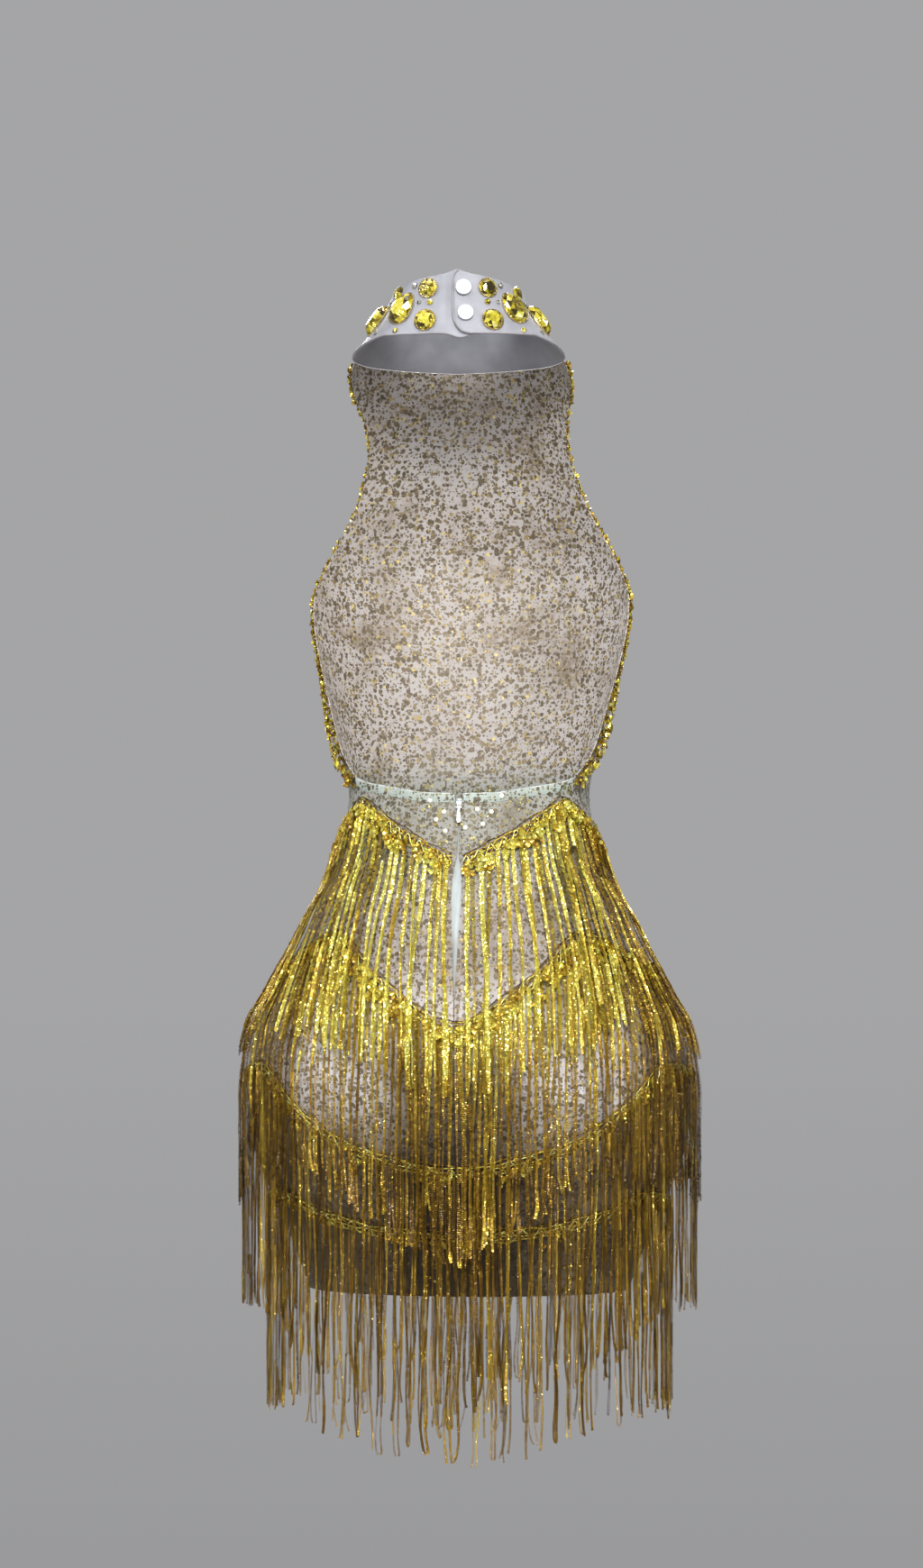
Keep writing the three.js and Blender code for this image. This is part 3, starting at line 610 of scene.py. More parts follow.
backEnd, frontStart = skirtCut["sideSeam"] - skirtCut["seam"], skirtCut["sideSeam"] + skirtCut["seam"]
leftBack = angleSteps(0.0, backEnd, skirtCut["step"])
justAside = 0.001  # degrees, so that the first column is on its own side of centre back
for side, angles, first in (("left", leftBack, justAside), ("right", (360 - leftBack)[::-1], 360 - justAside)):
    angles = np.where(fromBack(angles) < 0.01, first, angles)
    points = skirtGrid(angles, skirtCut["backBelow"], skirtCut["backCreases"], opening=True)
    piece = clothShell("back_panel_" + side, points, skirtCut["thickness"])
    finishPiece(piece, glitterTulle, ["skirt_back_" + side])
angles = angleSteps(frontStart, 360 - skirtCut["sideSeam"] - skirtCut["seam"], skirtCut["step"])
points = skirtGrid(angles, skirtCut["frontBelow"], skirtCut["frontCreases"])
piece = clothShell("front_panel", points, skirtCut["thickness"])
finishPiece(piece, glitterTulle, ["skirt_front"])

waistBand = {
    "height": 8.2,
    "start": 1.8,  # degrees from centre back
    "end": 62.9,
    "step": 1.5,
    "rows": 9,
    "offset": 1.0,
    "inset": 0.3,
    "thickness": 1.6,
    "roll": 0.5,
    "pucker": 0.18,
    "puckers": 41,
    "bead": {"below": 0.4, "offset": 1.0, "radius": 0.75},  # the cord along the top edge
}
for side in ("left", "right"):
    angles = angleSteps(waistBand["start"], waistBand["end"], waistBand["step"])
    if side == "right":
        angles = (360 - angles)[::-1]
    share = np.linspace(0, 1, waistBand["rows"])[None]
    column = angles[:, None]
    z = waistAt(column) - waistBand["height"] * share
    pucker = waistBand["pucker"] * np.sin(np.radians(column) * waistBand["puckers"] + share * 3)
    roll = waistBand["roll"] * np.sin(np.pi * share) + pucker
    points = aroundBody(z, column, waistBand["offset"] + roll - waistBand["inset"])
    piece = clothShell("waist_band_" + side, points, waistBand["thickness"])
    finishPiece(piece, bandElastic, ["waist_binding_" + side])
    bead = waistBand["bead"]
    line = aroundBody(waistAt(angles) - bead["below"], angles, bead["offset"])
    finishPiece(threadTubes("waist_edge_" + side, [line], bead["radius"]), snapEnamel)

collarBottom = [(0, -28), (45, -28), (72, -38), (90, -45), (126, -49), (180, -52)]
collarTop = [(0, 31), (12, 27), (36, 23), (54, 19), (90, 14), (180, 5)]

bodiceCut = {
    "edge": [(-45, 95), (-90, 128), (-150, 134), (-215, 120), (-260, 105), (-345, 88), (-395, 78), (-420, 63.2)],
    "trimWidth": 11,
    "trimShare": 0.1,  # of half the panel's columns
    "panelShare": 0.9,
    "collarTurn": 5,  # degrees by which the collar's angles are turned against the body's
    "topGap": 0.3,
    "waistGap": 0.15,
    "middle": 0.7,
    "columns": 90,
    "rows": 64,
    "thickness": 0.9,
    "creases": [
        (150, -300, 168, -380, 8, 0.7),
        (212, -296, 190, -384, 8, 0.7),
        (112, -280, 140, -330, 8, -0.6),
        (250, -284, 222, -328, 8, -0.6),
        (170, -90, 176, -150, 9, 0.6),
        (196, -96, 186, -160, 9, 0.5),
        (130, -210, 150, -250, 9, 0.5),
    ],
}


def bodiceHeight(angle, share):
    top = straightTable(collarBottom, fromBack(angle + bodiceCut["collarTurn"])) - bodiceCut["topGap"]
    return top + (waistAt(angle) + bodiceCut["waistGap"] - top) * share


def bodiceSpot(around, share, offset):  # around runs from one edge, -1, over the front to the other, 1
    edgeZ = bodiceHeight(skirtCut["sideSeam"], share)
    edge = smoothTable(bodiceCut["edge"], 1, edgeZ)
    strip = edge + np.degrees(bodiceCut["trimWidth"] / bodySize(edgeZ)[0])
    away, panel = np.abs(around), bodiceCut["panelShare"]
    inner = 180 - (180 - strip) * away / panel
    outer = strip + (edge - strip) * (away - panel) / bodiceCut["trimShare"]
    angle = np.where(away <= panel, inner, outer)
    angle = np.where(around <= 0, angle, 360 - angle)
    z = bodiceHeight(angle, share)
    return aroundBody(z, angle, offset + softCreases(bodiceCut["creases"], angle, z))


around = np.linspace(-1, 1, bodiceCut["columns"])[:, None]
share = np.linspace(0, 1, bodiceCut["rows"])[None]
bodice = clothShell("bodice_panel", bodiceSpot(around, share, bodiceCut["middle"]), bodiceCut["thickness"])
finishPiece(bodice, glitterTulle, ["bodice_front"])

zipTape = {
    "top": -440,
    "bottom": -616,
    "halfWidth": 6.8,
    "offset": -1.5,
    "thickness": 0.9,
    "rows": 60,
    "columns": 15,
    "fold": 0.45,
    "foldFrom": (-480, -520),
}
z = np.linspace(zipTape["top"], zipTape["bottom"], zipTape["rows"])[None]
across = np.linspace(-1, 1, zipTape["columns"])[:, None]
angles = np.degrees(np.arcsin(zipTape["halfWidth"] / bodySize(z)[0])) * across
foldTop, foldFull = zipTape["foldFrom"]
fold = zipTape["fold"] * np.cos(across * 5.5 + z / 31) * smoothStep(-z, -foldTop, -foldFull)
points = aroundBody(z, angles % 360, zipTape["offset"] + fold)
tape = clothShell("zip_tape_satin", points, zipTape["thickness"])
finishPiece(tape, tapeSatin, ["zip_tape"])
print("cloth done")


# sequins, modelled once
def modelSequin(corners, turn=0.0):
    deselectAll()
    bpy.ops.mesh.primitive_circle_add(vertices=corners, radius=1, fill_type="TRIFAN", rotation=(0, 0, turn))
    bpy.ops.object.transform_apply(location=False, rotation=True, scale=False)
    cup = bpy.context.object
    for vertex in cup.data.vertices:
        if vertex.co.length < 0.01:
            vertex.co.z = -0.3  # the cup's middle is pressed in
    points = np.array([vertex.co[:] for vertex in cup.data.vertices])
    faces = np.array([face.vertices[:] for face in cup.data.polygons])
    bpy.data.objects.remove(cup)
    return points, faces


roundSequin = modelSequin(6)
strandSequin = modelSequin(5)
plainSequin = modelSequin(4, math.pi / 4)  # for the lower tiers, where hundreds hang side by side


def strewSequins(name, middles, faceOut, upward, radii, tints, sequin=roundSequin, rimPaintedShade=-0.26):
    sequinPoints, sequinFaces = sequin
    faceOut = unit(faceOut)
    side = np.cross(upward, faceOut)
    side /= np.linalg.norm(side, axis=1, keepdims=True) + 1e-9
    axes = np.stack([side, np.cross(faceOut, side), faceOut], axis=1)
    points = middles[:, None] + np.einsum("vk,nkc->nvc", sequinPoints, axes) * radii[:, None, None]
    starts = np.arange(len(middles))[:, None, None] * len(sequinPoints)
    piece = meshPiece(name, points, (sequinFaces[None] + starts).reshape(-1, 3))
    rim = np.where(np.linalg.norm(sequinPoints[:, :2], axis=1) > 0.5, rimPaintedShade, 0.2)  # painted shade round each sequin's edge, with a lighter middle
    setTint(piece, (np.clip(tints, 0, 1)[:, None] + rim).ravel())
    return piece


# fringe tiers
headingTrim = {
    "height": 13,
    "outer": 4.6,
    "cords": 6,
    "cordStep": 2.2,
    "cordRadius": 0.5,
    "cordSides": 4,
    # painted shade: the dark cords between the gold ones stand for the shade in the trim's gaps
    "cordTints": (0.08, 0.52, 0.1, 0.62, 0.08, 0.5),
    "braidTints": (0.85, 0.35),
    "braidLoops": 68,
    "clusterStep": 3.3,
    "clusterRise": (-18, 1.5),
}
fringeHang = {
    "inner": 2.8,
    "layer": 3.6,  # each tier underneath pushes the strands out by this
    "liftStart": 66,
    "liftLength": 30,
    "pitch": (1.9, 1.9, 1.7, 1.7),
    "radius": (1.62, 1.55, 1.62, 1.6),
    "sideBulge": 3.0,
    "step": 3.0,
    "jitter": 0.24,  # of the gap between loops
    "bundle": (2, 7),  # loops
    "pull": (0.0, 0.55),  # how far a bundle's loops move to its middle
    "sway": 2.0,
    "startRise": (-4, 1.5),
    "startGap": 0.9,
    "uneven": 3.5,  # of the loops' lengths
    "ownUneven": 2.5,
    "shortShare": 0.05,
    "shorter": (8, 45),
    "longest": 5,
    "looseness": (0.2, 1.5),
    "apart": (0.03, 0.38),
    "wavelength": (70, 190),
    "ownWavelength": (45, 110),
    "closedCurl": 0.15,
    "loopCurl": 0.8,
    "closeOver": 5,
    "tail": 26,
}
sequinLie = {
    "tint": 0.09,
    "loopTint": 0.08,
    "widths": (0.78, 0.95, 1.0, 1.12),
    "stackFrom": (-632, 20),
    "stackOver": 45,
    "stretches": 60,
    "stretch": (8, 50),  # millimetres over which the sequins lie alike
    "turn": 20,
    "tilt": 11,
    "stretchTint": 0.08,
    "stackedShare": (0.16, 0.2),  # of the loops at centre back, more at the sides
    "stackedTilt": 46,
    "flatTilt": 8,
    # painted shade: over these heights the sequins' tint falls to the darker one below
    "paintedShadeFrom": (-630, -790),
    "paintedShadeTint": 0.4,
}
strandLooks = [  # the two upper tiers, the two lower ones
    {
        "sequin": strandSequin,
        "rimPaintedShade": -0.28,
        "uneven": 1,
        # painted shade: strands over the sides of the hips are darker
        "sidePaintedShade": 0.32,
        "flatTips": 0.3,
        "scatter": 0.1,
        "speckle": 0.1,
    },
    {
        "sequin": plainSequin,
        "rimPaintedShade": -0.36,
        "uneven": 1.5,
        "sidePaintedShade": 0.0,
        "flatTips": 0.08,
        "scatter": 0.06,
        "speckle": 0.05,
    },
]

# each tier's gold tint is lower than the one above: painted shade lower down
tiers = [
    {
        "line": [(0, -496), (54, -441), (72, -456), (90, -483), (126, -441), (180, -492)],
        "drop": 214,
        "sideLess": 6,
        "gap": 8.0,
        "sideCrowd": 0.9,
        "clusters": 1.0,
        "tintWithPaintedShade": 0.92,
        "bunches": [(2, 10, 1.2), (84, 100, 1.2)],
        "wave": 0.45,
        # painted light: the lower tiers' cords are made lighter
        "cordPaintedLight": 0.0,
        "looped": 0.3,
        "parted": 2.4,
        "bare": {"left": [(0, 7), (20, 24), (47, 52), (101, 108)], "right": [(15, 19), (42, 46), (112, 118)]},
    },
    {
        "line": [(0, -645), (45, -556), (90, -600), (135, -556), (180, -642)],
        "drop": 208,
        "sideLess": 0,
        "gap": 7.6,
        "sideCrowd": 0.7,
        "clusters": 1.1,
        "tintWithPaintedShade": 0.81,
        "bunches": [(-9, 17, 1.7)],
        "wave": 0.5,
        "cordPaintedLight": 0.0,
        "looped": 0.3,
        "parted": 0.1,
        "bare": {"left": [(8, 13), (38, 43), (125, 131)], "right": [(18, 23), (41, 46), (88, 94)]},
    },
    {
        "line": [
            (0, -769), (18, -758), (36, -736), (45, -716), (63, -675),
            (90, -684), (117, -675), (144, -736), (180, -766),
        ],
        "drop": 208,
        "sideLess": 0,
        "gap": 7.6,
        "sideCrowd": 0.85,
        "clusters": 0.5,
        "tintWithPaintedShade": 0.68,
        "bunches": [(-9, 9, 1.6)],
        "wave": 0.7,
        "cordPaintedLight": 0.2,
        "looped": 0.4,
        "parted": 0.1,
        "bare": {"left": [(12, 22), (30, 38), (60, 72)], "right": [(5, 12), (26, 40), (75, 90)]},
    },
    {
        "line": [
            (0, -827), (27, -819), (45, -808), (63, -789),
            (90, -800), (117, -789), (144, -812), (180, -826),
        ],
        "drop": 195,
        "sideLess": 9,
        "gap": 10.0,
        "sideCrowd": 1.1,
        "clusters": 0.35,
        "tintWithPaintedShade": 0.58,
        "bunches": [(40, 55, 0.55), (62, 116, 1.3)],
        "wave": 0.7,
        "cordPaintedLight": 0.2,
        "looped": 0.7,
        "parted": 0.1,
        "bare": {"left": [(4, 14), (24, 40), (70, 90)], "right": [(10, 25), (35, 50), (100, 120)]},
    },
]


def headingAt(tier, angle):
    spread = (-5, -2.5, 0, 2.5, 5)  # degrees over which the zigzag's corners are rounded
    if tier["parted"] > 1:
        spread = [min(max(fold, -3.5), 3.5) for fold in spread]
    return sum(straightTable(tier["line"], fromBack(angle + fold)) for fold in spread) / len(spread)


def layersUnder(index, angle, z):
    layers = 0
    for lower in tiers[index + 1 :]:
        liftTop = headingAt(lower, angle) + headingTrim["height"] / 2 + fringeHang["liftStart"]
        layers = layers + smoothStep(liftTop - z, 0, fringeHang["liftLength"])
    return layers


def pushOut(x, y, z, offset):  # out of the body's line plus the offset, with the way it faces there
    half, front, back = bodySize(z)
    for _ in range(3):
        wide = half + offset
        deep = np.where(y > 0, back, front) + offset
        reach = np.sqrt((x / wide) ** 2 + (y / deep) ** 2)
        slopeX, slopeY = x / wide**2 / reach, y / deep**2 / reach
        steep = np.hypot(slopeX, slopeY)
        move = np.maximum(1 - reach, 0) / steep
        x = x + move * slopeX / steep
        y = y + move * slopeY / steep
    return x, y, slopeX / steep, slopeY / steep


def hangStrands(index):
    tier = tiers[index]
    fine = np.linspace(tier["parted"], 360 - tier["parted"], 3600)
    length = lengthAlong(aroundBody(headingAt(tier, fine), fine, headingTrim["outer"]))
    # closest together over the sides of the hips
    away = fromBack(fine)
    sideways = smoothStep(np.sin(np.radians(fine)) ** 2, 0.1, 0.7) * (away < 120)
    crowding = 1 + tier["sideCrowd"] * sideways
    for low, high, factor in tier["bunches"]:
        within = smoothStep(away, low - 3, low + 3) * (1 - smoothStep(away, high - 3, high + 3))
        crowding = crowding * (1 + (factor - 1) * within)
    crowd = np.concatenate([[0], np.cumsum(np.diff(length) * crowding[1:] / tier["gap"])])
    count = int(crowd[-1])
    places = (np.arange(count) + 0.5 + random.uniform(-fringeHang["jitter"], fringeHang["jitter"], count)) / count * crowd[-1]
    spots = np.interp(places, crowd, length)

    # loops gather in bundles that leave gaps between them
    bundle, bundleMiddle, pull, sway = np.zeros(count, int), [], [], []
    start = 0
    while start < count:
        size = int(random.integers(*fringeHang["bundle"]))
        bundle[start : start + size] = len(bundleMiddle)
        bundleMiddle.append(spots[start : start + size].mean())
        pull.append(random.uniform(*fringeHang["pull"]))
        sway.append(random.normal(0, fringeHang["sway"]))
        start += size
    gap = np.interp(spots, length[1:], np.diff(length) / np.diff(crowd))
    towards = (np.array(bundleMiddle)[bundle] - spots) * np.array(pull)[bundle] + np.array(sway)[bundle]

    strands = 2 * count
    hand = np.tile([-1, 1], count)
    loop = np.repeat(np.arange(count), 2)
    angle = np.interp(spots[loop] + hand, length, fine)
    z = headingAt(tier, angle) + random.uniform(*fringeHang["startRise"], count)[loop]
    sideShare = np.abs(np.sin(np.radians(angle)))
    drop = tier["drop"] - tier["sideLess"] * sideShare + random.normal(0, fringeHang["uneven"], count)[loop]
    closed = random.random(count) < tier["looped"]  # the loop's two sides meet at the bottom
    drop = drop + np.where(closed[loop], 0, random.normal(0, fringeHang["ownUneven"], strands))
    short = random.random(count) < fringeHang["shortShare"]
    drop = np.where(short[loop], drop - random.uniform(*fringeHang["shorter"], count)[loop], drop)
    drop = np.minimum(drop, tier["drop"] + fringeHang["longest"])
    start = aroundBody(z, angle, headingTrim["outer"] + fringeHang["startGap"])
    freeX, freeY = start[:, 0] - bodyForm["lean"], start[:, 1]
    steps = int(np.ceil((tier["drop"] + 8) / fringeHang["step"])) + 1
    looseness = random.uniform(*fringeHang["looseness"], count)[loop] + fringeHang["sideBulge"] * sideShare**3
    apart = random.uniform(*fringeHang["apart"], count)[loop] * gap[loop] * hand
    phases = random.uniform(0, 2 * np.pi, (3, count))[:, loop]
    waves = random.uniform(*fringeHang["wavelength"], (3, count))[:, loop]
    ownPhase = random.uniform(0, 2 * np.pi, strands)
    ownWave = random.uniform(*fringeHang["ownWavelength"], strands)
    curl = random.normal(0, 1, strands) * np.where(closed[loop], fringeHang["closedCurl"], 1)
    curl = curl + random.normal(0, fringeHang["loopCurl"], count)[loop]
    path, outward = np.zeros((strands, steps, 3)), np.zeros((strands, steps, 3))
    close, tailLength = fringeHang["closeOver"], fringeHang["tail"]
    for row in range(steps):
        hung = row * fringeHang["step"]
        at = z - hung
        turned = np.degrees(np.arctan2(freeX / bodySize(at)[0], freeY / bodySize(at)[2])) % 360
        offset = fringeHang["inner"] + looseness + fringeHang["layer"] * layersUnder(index, turned, at)
        freeX, freeY, outX, outY = pushOut(freeX, freeY, at, offset)
        share = np.clip(hung / drop, 0, 1.05)
        drift = towards[loop] * smoothStep(share, 0.12, 0.7)
        for phase, wavelength in zip(phases, waves):
            drift = drift + tier["wave"] * share**0.8 * np.sin(phase + 2 * np.pi * hung / wavelength)
        own = 0.5 * share * np.sin(ownPhase + 2 * np.pi * hung / ownWave)
        pair = 0.1 * hand + apart * smoothStep(share, 0.15, 0.85) + own
        meet = np.sqrt(np.clip(1 - np.clip((hung - drop + close) / close, 0, 1) ** 2, 0, 1))
        pair = np.where(closed[loop], (pair + hand) * meet - hand, pair)
        tail = np.clip((hung - drop + tailLength) / tailLength, 0, 1.2)
        drift = drift + pair + curl * 2.0 * tail**2
        bounce = 0.6 * share * (1 + np.sin(phases[0] * 3 + hung / 23))
        x, y, outX, outY = pushOut(freeX - outY * drift, freeY + outX * drift, at, offset + bounce)
        path[:, row] = np.stack([x + bodyForm["lean"], y, at], axis=1)
        outward[:, row] = np.stack([outX, outY, 0 * outX], axis=1)
    return path, outward, drop, loop, angle


def threadOn(index):
    tier, look, pitch = tiers[index], strandLooks[index // 2], fringeHang["pitch"][index]
    path, outward, drop, loop, startAngle = hangStrands(index)
    parts = {"left": [], "right": []}
    loops = loop.max() + 1
    strandTint = random.normal(0, sequinLie["tint"], len(path)) + random.normal(0, sequinLie["loopTint"], loops)[loop]
    strandTint *= look["uneven"]
    # painted shade over the sides of the hips
    strandTint -= look["sidePaintedShade"] * np.sin(np.radians(startAngle)) ** 6
    width = random.choice(sequinLie["widths"], loops)[loop]
    stackMiddle, stackSpread = sequinLie["stackFrom"]
    stackedBack, stackedSide = sequinLie["stackedShare"]
    stretches = sequinLie["stretches"]
    for strand, line in enumerate(path):
        along = lengthAlong(line)
        at = (np.arange(int(drop[strand] / pitch)) + 0.3) * pitch
        at = at[at < along[-1] - 1]
        spot, out = readAt(at, along, line), readAt(at, along, outward[strand])
        down = unit(np.gradient(spot, axis=0))
        out = unit(out - (out * down).sum(1, keepdims=True) * down)
        side = np.cross(down, out)

        # both strands of a loop lie alike: flat like scales above, stacked like coins further down
        if strand % 2 == 0:
            stackFrom = stackMiddle + random.normal(0, stackSpread)
            cut = np.cumsum(random.uniform(*sequinLie["stretch"], stretches))
            turnOf, tiltOf, tintOf = (
                random.normal(0, sequinLie[key], stretches + 2) for key in ("turn", "tilt", "stretchTint")
            )
            sideways = abs(math.sin(math.radians(startAngle[strand])))
            allStacked = random.random() < stackedBack + stackedSide * sideways
            flatTip = random.random() < look["flatTips"]
        stretch = np.searchsorted(cut, at)
        stacked = smoothStep(-spot[:, 2], -stackFrom, -stackFrom + sequinLie["stackOver"])
        if flatTip:
            stacked = stacked * (1 - smoothStep(at, drop[strand] - 40, drop[strand] - 25))
        if allStacked:
            stacked = np.maximum(stacked, 0.85)
        turn = turnOf[stretch] + random.normal(0, 6, len(at)) + stacked * 25 * np.sin(at / 19 + strand)
        turn = np.radians(turn)[:, None]
        tilt = (sequinLie["flatTilt"] + tiltOf[stretch]) * (1 - stacked) + stacked * sequinLie["stackedTilt"]
        tilt = np.radians(tilt + random.normal(0, 8, len(at)))[:, None]
        face = np.cos(turn) * out + np.sin(turn) * side
        facing = np.cos(tilt) * face - np.sin(tilt) * down + random.normal(0, look["scatter"], face.shape)
        # painted shade: lower down the tint falls to a darker one, and stacked sequins, seen edge on, are darker
        low = smoothStep(-spot[:, 2], *(-height for height in sequinLie["paintedShadeFrom"]))
        tint = (tier["tintWithPaintedShade"] - 0.16 * stacked) * (1 - low) + low * sequinLie["paintedShadeTint"] + strandTint[strand]
        tint += random.normal(0, look["speckle"], len(at)) + tintOf[stretch] * (1 - 0.6 * stacked)
        radius = fringeHang["radius"][index] * width[strand] * random.normal(1, 0.04, len(at))
        radius = radius * (1 - 0.18 * stacked)
        parts["left" if startAngle[strand] < 180 else "right"].append((spot, facing, -down, radius, tint))
    made = {}
    for side, rows in parts.items():
        columns = [np.concatenate(column) for column in zip(*rows)]
        name = f"strands_{index + 1}_{side}"
        piece = strewSequins(name, *columns, look["sequin"], look["rimPaintedShade"])
        made[side] = finishPiece(piece, sequinGold, [f"fringe_{index + 1}_{side}"])
        print(name, len(columns[0]), "sequins")
    return made


def headingSpot(tier, angle, rise, offset):
    return aroundBody(headingAt(tier, angle) + rise, angle, offset)


def makeCords(index, side, angles):
    tier, sides = tiers[index], headingTrim["cordSides"]
    turn = np.radians(angles)
    paths, tints = [], []
    for cord in range(headingTrim["cords"]):
        rise = headingTrim["height"] / 2 - 0.5 - cord * headingTrim["cordStep"]
        wobble = 0.8 * np.sin(turn * 19 + cord * 1.9) + 0.4 * np.sin(turn * 47 + cord)
        offset = 2.9 + 0.5 * (cord % 2) + 0.5 * np.sin(np.pi * cord / 5)
        paths.append(headingSpot(tier, angles, rise + wobble, offset))
        # painted light makes the lower tiers' cords lighter
        beads = random.normal(headingTrim["cordTints"][cord] + tier["cordPaintedLight"], 0.16, len(angles))
        tints.append(np.repeat(beads, sides))
    steps = np.linspace(angles[0], angles[-1], len(angles) * 2)
    turn, loops = np.radians(steps), headingTrim["braidLoops"]
    for braid, shade in enumerate(headingTrim["braidTints"]):  # these loop to and fro over the straight cords
        swing = 4.2 * np.sin(turn * loops + braid * 2.6 + 0.8 * np.sin(turn * 9))
        lift = 4.6 + 0.7 * np.cos(turn * loops * 2 + braid)
        paths.append(headingSpot(tier, steps, swing - 0.8, lift))
        tints.append(np.repeat(random.normal(shade, 0.16, len(steps)), sides))
    cords = threadTubes(f"heading_cords_{index + 1}_{side}", paths, headingTrim["cordRadius"], sides)
    setTint(cords, np.concatenate(tints))
    return finishPiece(cords, goldCord, [f"heading_{index + 1}_{side}"])


def makeClusters(index, side, angles):  # sequins piled on the cords
    tier, share = tiers[index], tiers[index]["clusters"]
    length = lengthAlong(headingSpot(tier, angles, 0, headingTrim["outer"]))
    middles = np.arange(2, length[-1] - 1, headingTrim["clusterStep"])
    middles = middles + random.normal(0, 1.4, len(middles))
    middles = middles[random.random(len(middles)) < 0.3 + 0.7 * share]
    covered = np.ones(len(middles), bool)
    for start, end in tier["bare"][side]:
        at = fromBack(np.interp(middles, length, angles))
        covered &= (at < start) | (at > end)
    middles = middles[covered]
    size = random.integers(4, 6 + int(9 * share), len(middles))
    spots = np.repeat(middles, size) + random.normal(0, 1.8, size.sum())
    rise = np.repeat(random.normal(-8, 4.4, len(middles)), size) + random.normal(0, 2.2, size.sum())
    rise = np.clip(rise * (0.45 + 0.55 * share), *headingTrim["clusterRise"])
    angle = np.interp(np.clip(spots, 0.5, length[-1] - 0.5), length, angles)
    lift = headingTrim["outer"] + 0.2 + np.abs(random.normal(0, 1.4, len(spots)))
    middle = headingSpot(tier, angle, rise, lift)
    out = unit(headingSpot(tier, angle, rise, lift + 5) - middle)
    facing = out + random.normal(0, 0.34, out.shape) + (0, 0, 0.12)
    upward = random.normal(0, 0.5, out.shape) + (0, 0, 1)
    radius = random.normal(1.6 + 0.7 * share, 0.28, len(spots))
    # the tier's tint, with its painted shade
    tint = tier["tintWithPaintedShade"] * 0.95 + random.normal(0, 0.1, len(spots))
    tint = tint + np.repeat(random.normal(-0.06, 0.17, len(middles)), size)
    piece = strewSequins(f"heading_sequins_{index + 1}_{side}", middle, facing, upward, radius, tint)
    return finishPiece(piece, sequinGold)


tierPieces = {"left": [], "right": []}
for index, tier in enumerate(tiers):
    strands = threadOn(index)
    for side, low, high in (("left", tier["parted"], 180 - 0.1), ("right", 180.1, 360 - tier["parted"])):
        angles = angleSteps(low, high, 1.2)
        tierPieces[side] += [strands[side], makeCords(index, side, angles), makeClusters(index, side, angles)]
print("fringe done")

# collar
collarCut = {
    "turn": -5,
    "topHalf": 56,
    "topFront": 54,
    "topBack": 58,
    "bottomHalf": 94,
    "bottomFront": 80,
    "bottomBack": 71,
    "hollow": 0.1,
    "underEnd": -12,
    "overEnd": 364,
    "liftFrom": 318,
    "liftTo": 346,
    "lift": 2.5,
    "wall": 1.8,
    "cornerTop": 8,
    "cornerBottom": 22,
    "cornerWidth": 9,
    "dip": 3.8,
    "dipAt": -0.5,
    "dipWidth": 5,
    "rows": 22,
    "columns": 170,
    "inset": 0.4,
    "middle": 0.9,
    "thickness": 1.3,
    "rim": (0.45, 0.05),  # height of the rolled edges, share of the band that they take up
    "folds": [(348, 7, 0.5), (357, 5, 0.3), (12.5, 2.6, 0.6), (7.5, 2.2, 0.55)],  # angle, width, height
}
lapHeight = collarTop[0][1] - collarBottom[0][1]


def collarEdges(angle):
    away = fromBack(angle)
    return straightTable(collarTop, away), straightTable(collarBottom, away)


def collarSpot(angle, z, offset):
    topZ, bottomZ = collarEdges(angle)
    share = (topZ - z) / (topZ - bottomZ)
    flare = share - collarCut["hollow"] * np.sin(np.pi * share)
    half, front, back = (
        collarCut["top" + way] + (collarCut["bottom" + way] - collarCut["top" + way]) * flare
        for way in ("Half", "Front", "Back")
    )
    lift = collarCut["lift"] * smoothStep(np.asarray(angle, float), collarCut["liftFrom"], collarCut["liftTo"])
    turn = np.radians(angle + collarCut["turn"])
    depth = np.where(np.cos(turn) > 0, back, front)
    reach = offset + lift
    x, y = (half + reach) * np.sin(turn), (depth + reach) * np.cos(turn)
    return np.stack(np.broadcast_arrays(x, y, z), axis=-1)


def lapDip(angle):  # the under end hangs a little below the lap
    return collarCut["dip"] * bell(angle, collarCut["dipAt"], collarCut["dipWidth"])


def lapCorner(fromTop, fromBottom):  # how far the lap's end is cut back at its rounded corners
    top = np.clip(1 - fromTop / collarCut["cornerTop"], 0, 1)
    bottom = np.clip(1 - fromBottom / collarCut["cornerBottom"], 0, 1)
    return (1 - np.sqrt(1 - top**2)) * 0.5 + (1 - np.sqrt(1 - bottom**2))


def makeCollar():
    share = np.linspace(0, 1, collarCut["rows"])[None]
    along = np.linspace(0, 1, collarCut["columns"])[:, None]
    bend = lapCorner(share * lapHeight, (1 - share) * lapHeight)
    end = collarCut["overEnd"] - collarCut["cornerWidth"] * bend
    angle = collarCut["underEnd"] + (end - collarCut["underEnd"]) * along
    topZ, bottomZ = collarEdges(angle)
    z = topZ - collarCut["inset"] + (bottomZ - topZ + 2 * collarCut["inset"] - lapDip(angle)) * share
    folds = [height * bell(angle, at, width) for at, width, height in collarCut["folds"]]
    lapFold, endFold, hill, valley = folds
    across = np.sin(np.pi * share)
    pucker = 0.35 * np.sin(np.radians(angle) * 14 + share * 4) * across
    pucker = pucker + lapFold * across + endFold * np.sin(share * 9 + angle * 0.6)
    pucker = pucker + (hill - valley) * np.sin(np.pi * np.clip(share, 0.12, 0.95))  # beside the lap
    height, width = collarCut["rim"]
    roll = height * (bell(share, 0, width) + bell(1 - share, 0, width))
    points = collarSpot(angle, z, collarCut["middle"] + pucker + roll)
    return clothShell("collar_band", points, collarCut["thickness"])


collar = finishPiece(makeCollar(), collarSatin, ["collar"])

